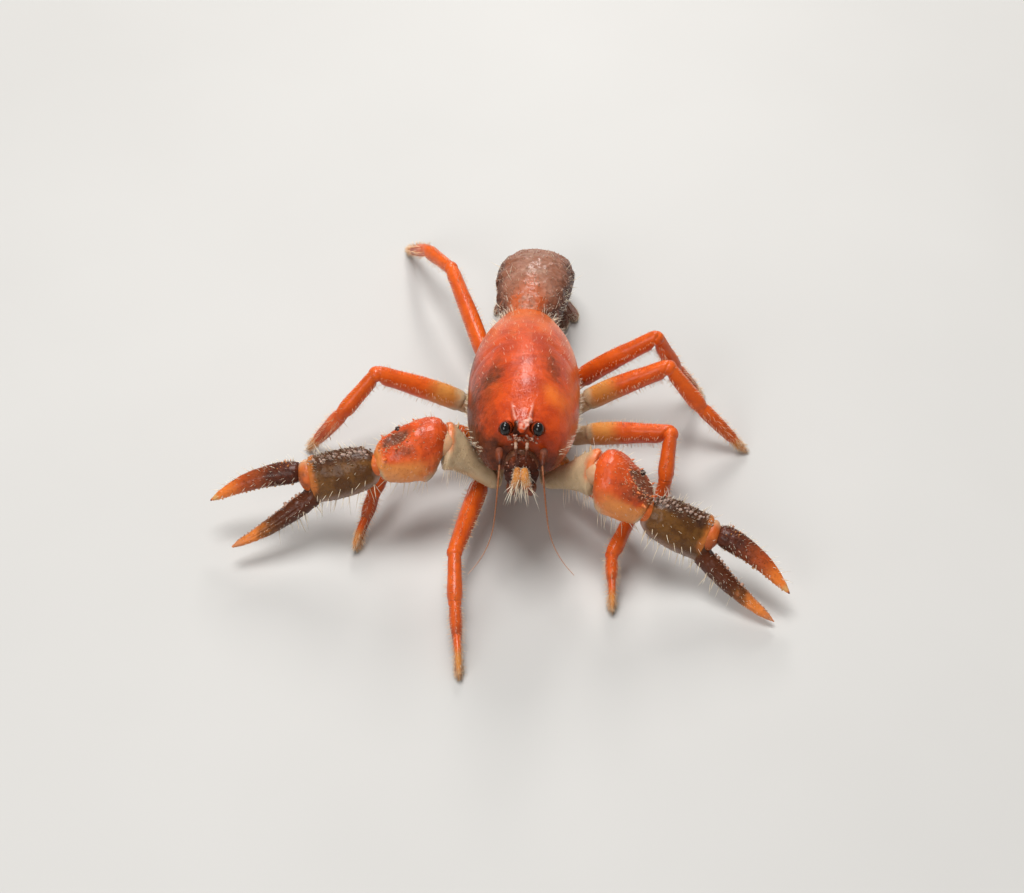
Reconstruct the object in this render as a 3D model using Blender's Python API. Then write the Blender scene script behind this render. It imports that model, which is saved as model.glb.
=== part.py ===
"""A lilly pilly burrowing crayfish at life size, walking with both claws held out to the sides.

The animal faces -Y, its right side is at -X and the floor is Z = 0. Sizes are in millimetres and angles
in degrees; they become metres and radians where a mesh is made. The carapace and what it carries are drawn
in a body frame, with Y from nose to tail and Z from belly to back, which BODY_FRAME tilts head up. Limbs
and abdomen are drawn in the world.
"""

import math
import random

import bmesh
import bpy
from mathutils import Matrix, Vector

MM = 0.001
GAP = 0.3
# How far from a skewed end a limb's rings take its plane: at least, and more with the lean
SKEW_REACH, SKEW_LEAN = 0.4, 1.6
NAME = "burrowing_crayfish"
SIDES = {"R": -1, "L": 1}

# How the body is held
BODY_PITCH = 14.0
BODY_YAW = 1.6
BODY_ORIGIN = Vector((0.05, -3.3, 4.66))
BODY_FRAME = (
    Matrix.Translation(BODY_ORIGIN)
    @ Matrix.Rotation(-math.radians(BODY_YAW), 4, "Z")
    @ Matrix.Rotation(-math.radians(BODY_PITCH), 4, "X")
)

# Carapace: place along the body, half width, height of the back, height of the lower edge
CARAPACE = (
    (-9.4, 3.20, 8.7, 3.7),
    (-8.4, 3.85, 9.2, 3.1),
    (-7.0, 4.35, 9.6, 2.6),
    (-4.8, 4.90, 10.1, 2.0),
    (-1.5, 5.05, 10.4, 1.4),
    (2.0, 5.05, 10.3, 1.1),
    (5.0, 4.70, 9.9, 1.3),
    (7.4, 4.10, 9.2, 1.9),
    (9.2, 3.30, 8.5, 3.0),
    (10.3, 2.65, 8.1, 4.0),
)
CARAPACE_WAIST = 0.46
CARAPACE_EDGE = 135.0
CARAPACE_SIDES = 22
CARAPACE_STEPS = 9
HEART_HEIGHT = 5.5
FRONT_Y = -9.4
REAR_Y = 10.3
GROOVE_Y = 2.4
GROOVE_SWEEP = 6.4
GROOVE_CURVE = 1.4
GROOVE_DIP = 0.05
GROOVE_WIDTH = 0.9
FACE_BULGE = 0.35
# Rostrum and the ridge on each side of it: stations of x, y, z, half width and half height
ROSTRUM = (
    (0, -6.9, 9.05, 1.25, 0.55),
    (0, -8.4, 9.15, 1.0, 0.5),
    (0, -9.6, 8.95, 0.66, 0.38),
    (0, -10.25, 8.6, 0.24, 0.22),
)
RIDGE = (
    (1.0, -6.4, 9.2, 0.16, 0.2),
    (0.86, -7.6, 9.4, 0.22, 0.26),
    (0.66, -8.9, 9.35, 0.22, 0.26),
    (0.4, -9.8, 8.95, 0.16, 0.18),
)
EYE_PLACE = (1.45, -9.75, 8.55)
EYE_RADII = (0.58, 0.62, 0.72)
EYE_STALK_END = (1.05, -8.95, 8.2)
EYE_STALK = ((0.0, 0.3, 0.3), (0.2, 0.42, 0.42), (1.0, 0.42, 0.42))
SOCKET_RADIUS = 1.05
# Face below the eyes: stations of x, y, z, half width and half height
MOUTH_PLATE = (
    (0, -10.2, 6.0, 0.7, 0.25),
    (0, -10.45, 5.6, 1.15, 0.5),
    (0, -10.65, 4.7, 1.55, 0.75),
    (0, -10.7, 3.7, 1.3, 0.75),
    (0, -10.6, 3.2, 0.7, 0.4),
)
ANTENNA_BASE = (
    (1.95, -9.75, 6.35, 0.4, 0.4),
    (1.95, -10.0, 6.35, 0.58, 0.56),
    (1.93, -10.5, 6.25, 0.56, 0.52),
    (1.9, -10.95, 6.05, 0.44, 0.42),
    (1.88, -11.35, 5.85, 0.36, 0.34),
)
ANTENNULE = (
    (0.5, -9.9, 7.45, 0.25, 0.25),
    (0.5, -10.25, 7.35, 0.34, 0.32),
    (0.47, -10.75, 7.1, 0.3, 0.28),
    (0.42, -11.15, 6.7, 0.25, 0.25),
    (0.38, -11.4, 6.3, 0.2, 0.2),
    (0.36, -11.5, 5.8, 0.12, 0.12),
)
MAXILLIPED = (
    (0.8, -5.2, 0.1, 0.35, 0.4),
    (0.8, -5.6, 0.15, 0.5, 0.55),
    (0.8, -8.3, 0.95, 0.52, 0.6),
    (0.8, -10.0, 1.75, 0.52, 0.6),
    (0.75, -11.1, 2.25, 0.45, 0.48),
    (0.68, -11.95, 2.9, 0.44, 0.42),
    (0.55, -12.25, 3.8, 0.38, 0.36),
    (0.45, -12.2, 4.7, 0.24, 0.24),
)
# Long feelers: how far each step turns outward from straight ahead, and its rise
FEELER_BENDS = ((5, -25), (8, -50), (14, -66), (20, -66), (28, -48), (34, -26), (38, -10))
FEELER_STEP = 1.5
FEELER_RADIUS = 0.27
FEELER_TAPER = 0.07

# Belly plate between the legs: place along the body, half width, top, bottom
STERNUM = (
    (-4.6, 0.7, 1.0, 0.0),
    (-3.6, 0.9, 1.2, -0.9),
    (2.0, 1.5, 0.8, -1.6),
    (7.0, 1.4, 1.3, -1.4),
    (8.8, 1.0, 2.0, -0.4),
)
# Hip stubs on the belly plate: how far inward, above and behind a limb's root they start, and sections
HIP_IN, HIP_ABOVE, HIP_BEHIND = 1.3, 0.4, 0.9
HIP = ((0.0, 0.5, 0.5), (0.4, 0.75, 0.8), (0.8, 0.85, 0.9), (1.0, 0.66, 0.7))

# Abdomen segments: length, slope, half width, height above and below the centre line
ABDOMEN = (
    (1.9, 0, 2.30, 2.05, 1.6),
    (3.0, -4, 3.30, 2.25, 1.9),
    (2.9, -16, 3.65, 2.35, 1.9),
    (2.6, -38, 3.60, 2.30, 1.8),
    (2.3, -66, 3.20, 2.00, 1.4),
    (2.1, -90, 2.70, 1.45, 1.0),
)
ABDOMEN_START = (0.32, 8.35, 7.75)
ABDOMEN_YAW = 83.0
ABDOMEN_SIDES = 16
ABDOMEN_EDGE = 118.0
TERGITE_SWELL = ((0.0, 0.90), (0.18, 0.96), (0.6, 1.0), (0.9, 1.0), (1.0, 0.95))
FAN_START = -0.9
FAN_HEIGHT = 0.32
FAN_THICK = 0.6
# How much a vane's end is widened before its tip, and the tip's width as a share of the end's
FAN_END_FLARE, FAN_TIP = 0.25, 0.6
# Tail fan vanes: root across the fan, splay, length, half width at root, middle and end
FAN = {
    "telson": (0.0, 0.0, 5.0, 0.90, 1.15, 0.90),
    "uropod_inner": (1.45, 18.0, 4.6, 0.35, 0.72, 0.55),
    "uropod_outer": (2.20, 42.0, 4.0, 0.30, 0.70, 0.52),
}
FAN_SIDES = 12
# A vane's sections: place along it and thickness. Its rays: spread, lift, and place along and radius
FAN_VANE = ((0.0, 0.8), (0.3, 1.0), (0.65, 1.0), (0.88, 0.9), (1.0, 0.6))
RAY_SPREAD = 0.42
RAY_LIFT = 0.42
RAY = ((0.06, 0.14), (0.3, 0.2), (0.7, 0.18), (0.93, 0.1))

# Walking legs: root in the body frame, then length, yaw and rise of each stretch; the last rise comes
# from the floor
LEG_ROOTS = {
    "2": (3.0, -0.4, -1.6),
    "3": (2.8, 2.3, -1.1),
    "4": (2.7, 5.2, -0.9),
    "5": (2.4, 8.0, -0.7),
}
LEG_POSES = {
    "R2": ((12.2, 255, 5), (4.8, 271, -15), (6.9, 274)),
    "R3": ((10.1, 199, 18), (5.1, 247, -26), (5.6, 246)),
    "R4": ((12.8, 182, 31), (5.2, 208, -44), (6.5, 176)),
    "R5": ((14.6, 110, 17), (5.0, 121, -19), (6.9, 116)),
    "L2": ((9.9, -47, 5), (4.3, -116, -13), (5.1, -90)),
    "L3": ((11.7, -16, 21), (4.3, -98, -31), (5.4, -120)),
    "L4": ((12.3, 5, 30), (5.3, -24, -49), (6.6, -19)),
    "L5": ((12.6, 4, 39), (4.8, 4, -66), (6.4, 23)),
}
LEG_SCALE = {"2": 0.94, "3": 1.0, "4": 0.98, "5": 0.9}
LEG_SIDES = 10
FOOT_RADIUS = 0.28
# Cross-sections along a leg: fraction of the stretch, half width, half height
LEG_UPPER = (
    (0.00, 0.45, 0.50),
    (0.02, 0.72, 0.80),
    (0.08, 0.84, 0.92),
    (0.14, 0.68, 0.82),
    (0.20, 0.80, 0.98),
    (0.30, 0.78, 0.98),
    (0.36, 0.92, 1.14),
    (0.62, 0.90, 1.14),
    (0.88, 0.78, 0.96),
    (0.97, 0.74, 0.86),
    (1.00, 0.58, 0.68),
)
LEG_CARPUS = (
    (0.00, 0.52, 0.62),
    (0.06, 0.62, 0.74),
    (0.45, 0.68, 0.80),
    (0.85, 0.74, 0.84),
    (1.00, 0.60, 0.70),
)
LEG_PROPODUS = (
    (0.10, 0.62, 0.74),
    (0.45, 0.56, 0.66),
    (0.68, 0.48, 0.54),
    (0.73, 0.38, 0.44),
    (0.90, 0.27, 0.30),
)
HAND_PALM = (
    (0.08, 0.58, 0.76),
    (0.30, 0.60, 0.84),
    (0.40, 0.56, 0.86),
    (0.44, 0.34, 0.46),
    (0.75, 0.30, 0.36),
    (0.92, 0.25, 0.27),
)
HAND_FINGER = ((0.36, 0.34, 0.40), (0.60, 0.32, 0.38), (0.82, 0.24, 0.26), (0.93, 0.12, 0.14))
# How far a hand's finger stands off, from where it parts, and through what turn it bows
HAND_SPREAD, HAND_PARTING, HAND_TURN = 0.95, 0.3, 112.0
LEG_BOW = {"2": 0.2, "3": 0.45, "4": 0.5, "5": 0.5}

# Claws: root in the body frame, then length, yaw and rise of ischium, merus, carpus, palm and the moving
# and the fixed finger
CLAW_ROOT = (2.2, -2.6, 0.0)
CLAW_POSES = {
    "R": (
        (2.4, 260, -4),
        (6.5, 174, 46),
        (6.2, 195, -10),
        (6.3, 181, -20),
        (9.0, 186, -20),
        (9.0, 206, -21),
    ),
    "L": (
        (2.3, -88, -2),
        (6.9, -33, 42),
        (5.6, -28, -28),
        (5.9, -16, -22),
        (8.3, -37, -19),
        (9.1, -39, -22),
    ),
}
MERUS_UP = (0, 0.77, 0.64)
CLAW_LEAN = {"R": (-0.31, 0.54, 0.78), "L": (0.40, 0.50, 0.77)}
CLAW_SIDES = 14
CARPUS_SIDES = 20
CLAW_ISCHIUM = (
    (0.00, 0.45, 0.45),
    (0.08, 0.75, 0.75),
    (0.35, 0.70, 0.72),
    (0.90, 0.75, 0.80),
    (1.00, 0.60, 0.65),
)
CLAW_MERUS = (
    (0.00, 0.60, 0.65),
    (0.08, 0.80, 0.85),
    (0.45, 0.95, 1.20),
    (0.80, 1.15, 1.80),
    (0.94, 1.25, 2.00),
    (1.00, 1.00, 1.75),
)
CLAW_CARPUS = (
    (0.00, 1.00, 1.60),
    (0.08, 1.50, 2.30),
    (0.20, 1.95, 2.70),
    (0.34, 2.10, 2.75),
    (0.48, 2.10, 2.60),
    (0.62, 2.00, 2.45),
    (0.76, 1.80, 2.25),
    (0.88, 1.50, 1.95),
    (0.96, 1.25, 1.65),
    (1.00, 0.95, 1.30),
)
# The carpus's hollow: place along it, turn from its upper edge, half length, half width, depth
HOLLOW = (0.62, 22.0, 2.1, 0.95, 0.5)
# A spine's profile above its foot: height as a share of its length and width as a share of its radius
SPINE = ((0.3, 0.85), (0.8, 0.3))
# Spines: place along the piece, turn from its upper edge, radius, length
CARPUS_SPINES = (
    (0.86, 74, 0.34, 0.9),
    (0.66, 60, 0.24, 0.6),
    (0.80, -12, 0.24, 0.5),
    (0.52, -16, 0.22, 0.45),
    (0.30, -2, 0.22, 0.45),
    (0.90, 34, 0.22, 0.45),
    (0.48, 52, 0.2, 0.42),
    (0.34, 36, 0.2, 0.42),
)
MERUS_SPINES = ((0.93, 8, 0.24, 0.55), (0.76, -4, 0.2, 0.45), (0.60, 3, 0.18, 0.4))
# Rows of tubercles on the palm: turn from its upper edge, count, radius; their span along it and height
PALM_ROWS = ((4, 8, 0.24), (40, 7, 0.2))
PALM_ROW_START, PALM_ROW_LENGTH = 0.1, 0.84
TUBERCLE_HEIGHT = 1.4
# Teeth on each finger: count, radius at the base, span along it, loss of size to the tip, and depth of seat
TEETH = 8
TOOTH_RADIUS = 0.3
TEETH_START, TEETH_LENGTH = 0.22, 0.66
TOOTH_LOSS = 0.5
TOOTH_SEAT = 0.96
CLAW_PALM = (
    (0.00, 0.85, 1.20),
    (0.06, 1.10, 1.60),
    (0.22, 1.35, 2.00),
    (0.50, 1.45, 2.20),
    (0.80, 1.40, 2.20),
    (0.96, 1.25, 2.10),
)
FINGER_DROP = 1.15
FINGER_RISE = 1.1
FINGER_START = 0.62
FIXED_FINGER = (
    (0.06, 1.00, 0.98),
    (0.25, 0.92, 0.92),
    (0.50, 0.76, 0.76),
    (0.75, 0.54, 0.54),
    (0.92, 0.32, 0.30),
    (1.00, 0.10, 0.10),
)
MOVING_FINGER = (
    (0.00, 0.55, 0.60),
    (0.05, 0.92, 0.92),
    (0.16, 0.98, 1.05),
    (0.40, 0.84, 0.92),
    (0.65, 0.64, 0.72),
    (0.86, 0.40, 0.44),
    (0.96, 0.22, 0.22),
    (1.00, 0.08, 0.08),
)
FINGER_BOW = 0.55
FIXED_BOW = 0.33

MATERIALS = {
    "shell_orange": ((0.62, 0.085, 0.015), 0.28),
    "shell_cream": ((0.55, 0.42, 0.24), 0.4),
    "shell_brown": ((0.16, 0.05, 0.03), 0.5),
    "claw_brown": ((0.09, 0.03, 0.012), 0.4),
    "eye_black": ((0.006, 0.004, 0.004), 0.08),
    "feeler": ((0.35, 0.08, 0.03), 0.45),
}


def clear_scene():
    for thing in list(bpy.data.objects):
        bpy.data.objects.remove(thing, do_unlink=True)


def material(name):
    """A Principled material of the named colour and roughness."""
    found = bpy.data.materials.get(name)
    if found:
        return found
    colour, roughness = MATERIALS[name]
    found = bpy.data.materials.new(name)
    found.use_nodes = True
    shader = found.node_tree.nodes["Principled BSDF"]
    shader.inputs["Base Color"].default_value = (*colour, 1.0)
    shader.inputs["Roughness"].default_value = roughness
    shader.inputs["Metallic"].default_value = 0.0
    return found


def mesh_object(name, rings, slot, collection, caps=(None, None), frame=None):
    """A closed tube through rings of points, each cap a fan round its centre, in metres."""
    points = [p for ring in rings for p in ring]
    count = len(rings[0])
    faces = []
    for r in range(len(rings) - 1):
        for k in range(count):
            n = (k + 1) % count
            faces.append((r * count + k, r * count + n, (r + 1) * count + n, (r + 1) * count + k))
    ends = ((rings[0], 0), (rings[-1], (len(rings) - 1) * count))
    for end, (ring, first) in enumerate(ends):
        centre = caps[end] if caps[end] is not None else sum(ring, Vector()) / count
        points.append(centre)
        for k in range(count):
            pair = (first + k, first + (k + 1) % count)
            faces.append((*(pair[::-1] if end == 0 else pair), len(points) - 1))
    if frame is not None:
        points = [frame @ p for p in points]
    mesh = bpy.data.meshes.new(name)
    mesh.from_pydata([p * MM for p in points], [], faces)
    return finish_mesh(name, mesh, slot, collection)


def finish_mesh(name, mesh, slot, collection):
    work = bmesh.new()
    work.from_mesh(mesh)
    bmesh.ops.recalc_face_normals(work, faces=work.faces)
    work.to_mesh(mesh)
    work.free()
    mesh.shade_smooth()
    mesh.set_sharp_from_angle(angle=math.radians(50))
    mesh.materials.append(material(slot))
    thing = bpy.data.objects.new(name, mesh)
    collection.objects.link(thing)
    return thing


def curve_row(rows, place):
    """The smooth curve through a table's rows, read at a place in its first column."""
    keys = [row[0] for row in rows]
    place = min(max(place, keys[0]), keys[-1])
    i = max(k for k in range(len(keys) - 1) if keys[k] <= place)
    before, after = rows[max(i - 1, 0)], rows[min(i + 2, len(rows) - 1)]
    low, high = rows[i], rows[i + 1]
    span = high[0] - low[0]
    t = (place - low[0]) / span
    values = []
    for c in range(1, len(low)):
        start = (high[c] - before[c]) / (high[0] - before[0]) * span
        end = (after[c] - low[c]) / (after[0] - low[0]) * span
        values.append(
            (2 * t**3 - 3 * t**2 + 1) * low[c]
            + (t**3 - 2 * t**2 + t) * start
            + (3 * t**2 - 2 * t**3) * high[c]
            + (t**3 - t**2) * end
        )
    return values


def heading(yaw, rise):
    yaw, rise = math.radians(yaw), math.radians(rise)
    return Vector((math.cos(yaw) * math.cos(rise), math.sin(yaw) * math.cos(rise), math.sin(rise)))


def body_point(side, place):
    return BODY_FRAME @ Vector((side * place[0], place[1], place[2]))


def oval(centre, side, up, half_width, half_height, sides):
    ring = []
    for k in range(sides):
        a = 2 * math.pi * k / sides
        ring.append(centre + side * (half_width * math.cos(a)) + up * (half_height * math.sin(a)))
    return ring


def stretch_rings(
    start, end, stations, up, sides, start_normal=None, end_normal=None, start_gap=0.0, end_gap=0.0, bow=0.0
):
    """Oval rings along a stretch that may bow upwards, skewed near each end onto that end's plane."""
    along = (end - start).normalized()
    length = (end - start).length
    side = along.cross(up).normalized()
    up = side.cross(along)
    rings = []
    for fraction, half_width, half_height in stations:
        distance = start_gap + fraction * (length - start_gap - end_gap)
        arch = up * (bow * math.sin(math.pi * distance / length))
        ring = oval(start + along * distance + arch, side, up, half_width, half_height, sides)
        ends = ((start_normal, distance - start_gap), (end_normal, length - end_gap - distance))
        for normal, reach in ends:
            if normal is None:
                continue
            lean = math.sqrt(max(0.0, 1.0 - along.dot(normal) ** 2)) / abs(along.dot(normal))
            fade = max(0.0, 1.0 - reach / (SKEW_REACH + SKEW_LEAN * lean * max(half_width, half_height)))
            middle = start + along * distance
            ring = [p - along * (fade * (p - middle).dot(normal) / along.dot(normal)) for p in ring]
        rings.append(ring)
    return rings


def bisector(first, second):
    return (first + second).normalized()


def half_gap(along, normal):
    return GAP / 2 / abs(along.dot(normal))


def carapace_surface(y, u):
    """A point of the carapace at place y, with u from -1 at its right lower edge to 1 at its left."""
    half, top, bottom = curve_row(CARAPACE, y)
    middle = bottom + (top - bottom) * CARAPACE_WAIST
    a = math.radians(CARAPACE_EDGE) * u
    z = middle + (top - middle) * math.cos(a)
    if math.cos(a) < 0:
        z = middle + (middle - bottom) * math.cos(a) / abs(math.cos(math.radians(CARAPACE_EDGE)))
    return Vector((half * math.sin(a), y, z))


def carapace_ring(y, sweep, dip):
    """A ring of the carapace whose sides lie forward by the sweep, drawn in by the dip."""
    ring = []
    for k in range(CARAPACE_SIDES + 1):
        u = 2 * k / CARAPACE_SIDES - 1
        point = carapace_surface(y - sweep * abs(u) ** GROOVE_CURVE, u)
        centre = Vector((0, point.y, HEART_HEIGHT))
        ring.append(point + (centre - point) * dip)
    return ring


def carapace_half(name, span, sweeps, groove_at_start, caps, collection):
    """A half of the carapace over a span of places, its rings closer together towards the groove."""
    rings = []
    for i in range(CARAPACE_STEPS + 1):
        t = i / CARAPACE_STEPS
        t = t**1.5 if groove_at_start else 1 - (1 - t) ** 1.5
        y = span[0] + (span[1] - span[0]) * t
        distance = abs(y - span[0 if groove_at_start else 1])
        dip = GROOVE_DIP * max(0.0, 1 - distance / GROOVE_WIDTH) ** 2
        rings.append(carapace_ring(y, sweeps[0] + (sweeps[1] - sweeps[0]) * t, dip))
    return mesh_object(name, rings, "shell_orange", collection, caps, BODY_FRAME)


def make_carapace(collection):
    """Head and thorax shells, parted along the cervical groove, with the rostrum on the head."""
    groove_centre = GROOVE_Y - GROOVE_SWEEP * 0.5
    face = Vector((0, FRONT_Y - FACE_BULGE, HEART_HEIGHT))
    before = Vector((0, groove_centre - GAP / 2, HEART_HEIGHT))
    behind = Vector((0, groove_centre + GAP / 2, HEART_HEIGHT))
    head = carapace_half(
        "carapace_head", (FRONT_Y, GROOVE_Y - GAP / 2), (0.0, GROOVE_SWEEP), False, (face, before), collection
    )
    carapace_half(
        "carapace_thorax", (GROOVE_Y + GAP / 2, REAR_Y), (GROOVE_SWEEP, 0.0), True, (behind, None), collection
    )
    pieces = [body_tube("rostrum", ROSTRUM, 1, collection)]
    for s in (-1, 1):
        pieces.append(body_tube("ridge", RIDGE, s, collection, sides=8))
    fuse(head, pieces, "UNION")
    sockets = []
    for s in (-1, 1):
        place = BODY_FRAME @ Vector((s * EYE_PLACE[0], EYE_PLACE[1], EYE_PLACE[2]))
        sockets.append(ball("socket", place, (SOCKET_RADIUS,) * 3, "shell_orange", collection, 16, 10))
    fuse(head, sockets, "DIFFERENCE")


def body_tube(name, stations, side, collection, slot="shell_orange", sides=10, up=(0, 0, 1)):
    """A tube in the body frame through stations of x, y, z, half width and half height."""
    centres = [Vector((side * s[0], s[1], s[2])) for s in stations]
    sizes = [station[3:] for station in stations]
    return curved_tube(name, centres, sizes, Vector(up), slot, collection, sides, BODY_FRAME)


def curved_tube(name, centres, sizes, up, slot, collection, sides, frame=None):
    rings = []
    for i, centre in enumerate(centres):
        ahead, behind = centres[min(i + 1, len(centres) - 1)], centres[max(i - 1, 0)]
        along = (ahead - behind).normalized()
        side = along.cross(up).normalized()
        rings.append(oval(centre, side, side.cross(along), *sizes[i], sides))
    return mesh_object(name, rings, slot, collection, frame=frame)


def ball(name, centre, radii, slot, collection, segments=12, rings=8):
    work = bmesh.new()
    bmesh.ops.create_uvsphere(work, u_segments=segments, v_segments=rings, radius=1.0)
    frame = Matrix.Translation(centre) @ BODY_FRAME.to_3x3().to_4x4() @ Matrix.Diagonal((*radii, 1.0))
    bmesh.ops.transform(work, matrix=Matrix.Scale(MM, 4) @ frame, verts=work.verts)
    mesh = bpy.data.meshes.new(name)
    work.to_mesh(mesh)
    work.free()
    return finish_mesh(name, mesh, slot, collection)


def fuse(body, pieces, operation, solver="EXACT"):
    """Joins the pieces to the body, or cuts them from it, and keeps its largest closed surface."""
    group = bpy.data.collections.new("pieces")
    bpy.context.scene.collection.children.link(group)
    for piece in pieces:
        for home in list(piece.users_collection):
            home.objects.unlink(piece)
        group.objects.link(piece)
    modifier = body.modifiers.new("join", "BOOLEAN")
    modifier.operand_type = "COLLECTION"
    modifier.collection = group
    modifier.operation = operation
    modifier.solver = solver
    graph = bpy.context.evaluated_depsgraph_get()
    result = bpy.data.meshes.new_from_object(body.evaluated_get(graph))
    body.modifiers.remove(modifier)
    old, body.data = body.data, result
    bpy.data.meshes.remove(old)
    for piece in pieces:
        bpy.data.objects.remove(piece, do_unlink=True)
    bpy.data.collections.remove(group)
    keep_largest(body.data)


def keep_largest(mesh):
    """Deletes every closed surface of the mesh but the one with the most faces."""
    work = bmesh.new()
    work.from_mesh(mesh)
    bmesh.ops.remove_doubles(work, verts=work.verts, dist=1e-6)
    left, shells = set(work.faces), []
    while left:
        shell, todo = set(), [left.pop()]
        while todo:
            face = todo.pop()
            shell.add(face)
            for edge in face.edges:
                for other in edge.link_faces:
                    if other in left:
                        left.remove(other)
                        todo.append(other)
        shells.append(shell)
    shells.sort(key=len, reverse=True)
    scraps = [face for shell in shells[1:] for face in shell]
    bmesh.ops.delete(work, geom=scraps, context="FACES")
    work.to_mesh(mesh)
    work.free()


def make_eyes(collection):
    for letter, s in SIDES.items():
        centre = body_point(s, EYE_PLACE)
        eye = ball(f"eye_{letter}", centre, EYE_RADII, "eye_black", collection)
        inner, outer = body_point(s, EYE_STALK_END), centre
        rings = stretch_rings(inner, outer, EYE_STALK, Vector((0, 0, 1)), 10)
        fuse(eye, [mesh_object("stalk", rings, "eye_black", collection)], "UNION")


def make_face(collection):
    """Antennae, antennules, the plate above the mouth and the third maxillipeds."""
    body_tube("mouth_plate", MOUTH_PLATE, 1, collection, "shell_brown", 14, (0, -1, 0.2))
    for letter, s in SIDES.items():
        body_tube(f"antenna_base_{letter}", ANTENNA_BASE, s, collection, "shell_orange", 12)
        x, y, z = ANTENNA_BASE[-1][:3]
        feeler = [body_point(s, (x, y - GAP, z - 0.1))]
        for outward, rise in FEELER_BENDS:
            feeler.append(feeler[-1] + heading(-90 + s * outward, rise) * FEELER_STEP)
        sizes = [(FEELER_RADIUS * (1 - FEELER_TAPER * i),) * 2 for i in range(len(feeler))]
        curved_tube(f"antenna_{letter}", feeler, sizes, Vector((1, 0, 0.2)), "feeler", collection, 8)
        body_tube(f"antennule_{letter}", ANTENNULE, s, collection, "feeler", 8)
        body_tube(f"maxilliped_{letter}", MAXILLIPED, s, collection, "shell_orange", 10)


def make_sternum(collection):
    """The belly plate, with a hip stub fused on for each limb, ending just short of the limb's root."""
    rings = []
    for y, half, top, bottom in STERNUM:
        middle = (top + bottom) / 2
        outline = ((-0.8, top), (0.8, top), (1, middle), (0.6, bottom), (-0.6, bottom), (-1, middle))
        rings.append([Vector((x * half, y, z)) for x, z in outline])
    plate = mesh_object("sternum", rings, "shell_brown", collection, frame=BODY_FRAME)
    limbs = [(SIDES[key[0]], LEG_ROOTS[key[1]], LEG_POSES[key][0]) for key in LEG_POSES]
    limbs += [(side, CLAW_ROOT, CLAW_POSES[letter][0]) for letter, side in SIDES.items()]
    stubs = []
    for side, (x, y, z), (_, yaw, rise) in limbs:
        root, way = body_point(side, (x, y, z)), heading(yaw, rise)
        inner = body_point(side, (x - HIP_IN, y, z + HIP_ABOVE)) - way * HIP_BEHIND
        slant = abs((root - inner).normalized().dot(way))
        up = Vector((0, 0, 1))
        rings = stretch_rings(inner, root, HIP, up, LEG_SIDES, end_normal=way, end_gap=GAP / slant)
        stubs.append(mesh_object("hip", rings, "shell_brown", collection))
    fuse(plate, stubs, "UNION")


def tergite_ring(centre, along, half, up, down, normal, gap):
    """A ring of an abdomen segment: a rounded back, with a flat belly between its side flaps."""
    side = along.cross(Vector((0, 0, 1))).normalized()
    if abs(along.z) > 0.95:
        side = heading(ABDOMEN_YAW, 0).cross(Vector((0, 0, 1)))
    rise = side.cross(along)
    ring = []
    for k in range(ABDOMEN_SIDES + 1):
        a = math.radians(ABDOMEN_EDGE) * (2 * k / ABDOMEN_SIDES - 1)
        high = up * math.cos(a)
        if high < 0:
            high = down * math.cos(a) / abs(math.cos(math.radians(ABDOMEN_EDGE)))
        offset = side * (-half * math.sin(a)) + rise * high
        ring.append(centre + offset - along * (offset.dot(normal) / along.dot(normal)) + along * gap)
    return ring


def make_abdomen(collection):
    """Six segments curling down from the waist; returns where the tail fan starts."""
    directions = [heading(ABDOMEN_YAW, slope) for _, slope, *_ in ABDOMEN]
    normals = [(BODY_FRAME.to_3x3() @ Vector((0, 1, 0))).normalized()]
    normals += [bisector(a, b) for a, b in zip(directions, directions[1:])]
    normals.append(directions[-1])
    here = Vector(ABDOMEN_START)
    for i, (length, _, half, up, down) in enumerate(ABDOMEN):
        along, there = directions[i], here + directions[i] * length
        start_gap, end_gap = half_gap(along, normals[i]), half_gap(along, normals[i + 1])
        rings = []
        for t, swell in TERGITE_SWELL:
            normal = (normals[i] * (1 - t) + normals[i + 1] * t).normalized()
            place = here + (there - here) * t
            gap = start_gap * (1 - t) - end_gap * t
            rings.append(tergite_ring(place, along, half * swell, up * swell, down * swell, normal, gap))
        mesh_object(f"abdomen_{i + 1}", rings, "shell_brown", collection)
        here = there
    return here


def make_fan(root, collection):
    """Telson and four uropods with their rays, tucked forward under the abdomen and flat on the floor."""
    along = heading(ABDOMEN_YAW + 180, 0)
    across = along.cross(Vector((0, 0, 1)))
    up = Vector((0, 0, 1))
    root = Vector((root.x, root.y, FAN_HEIGHT))
    for kind, (offset, splay, length, *halves) in FAN.items():
        for letter, s in SIDES.items():
            if kind == "telson" and s < 0:
                continue
            turn = math.radians(splay) * s
            forward = along * math.cos(turn) + across * math.sin(turn)
            sideways = across * math.cos(turn) - along * math.sin(turn)
            start = root + across * (offset * s) + along * FAN_START
            foot_half, middle_half, end_half = halves
            widths = (foot_half, (foot_half + middle_half) / 2, middle_half)
            widths += (end_half + FAN_END_FLARE, end_half * FAN_TIP)
            rings = []
            for (t, thick), half in zip(FAN_VANE, widths):
                centre = start + forward * (length * t)
                rings.append(oval(centre, sideways, up, half, FAN_THICK / 2 * thick, FAN_SIDES))
            name = kind if kind == "telson" else f"{kind}_{letter}"
            vane = mesh_object(name, rings, "shell_brown", collection)
            rays = []
            for share in ((-RAY_SPREAD, RAY_SPREAD) if kind == "telson" else (0.0,)):
                foot = start + sideways * (share * middle_half) + up * (FAN_THICK * RAY_LIFT)
                rail = [foot + forward * (length * t) for t, _ in RAY]
                sizes = [(radius, radius) for _, radius in RAY]
                rays.append(curved_tube("ray", rail, sizes, up, "shell_brown", collection, 6))
            fuse(vane, rays, "UNION")


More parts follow.
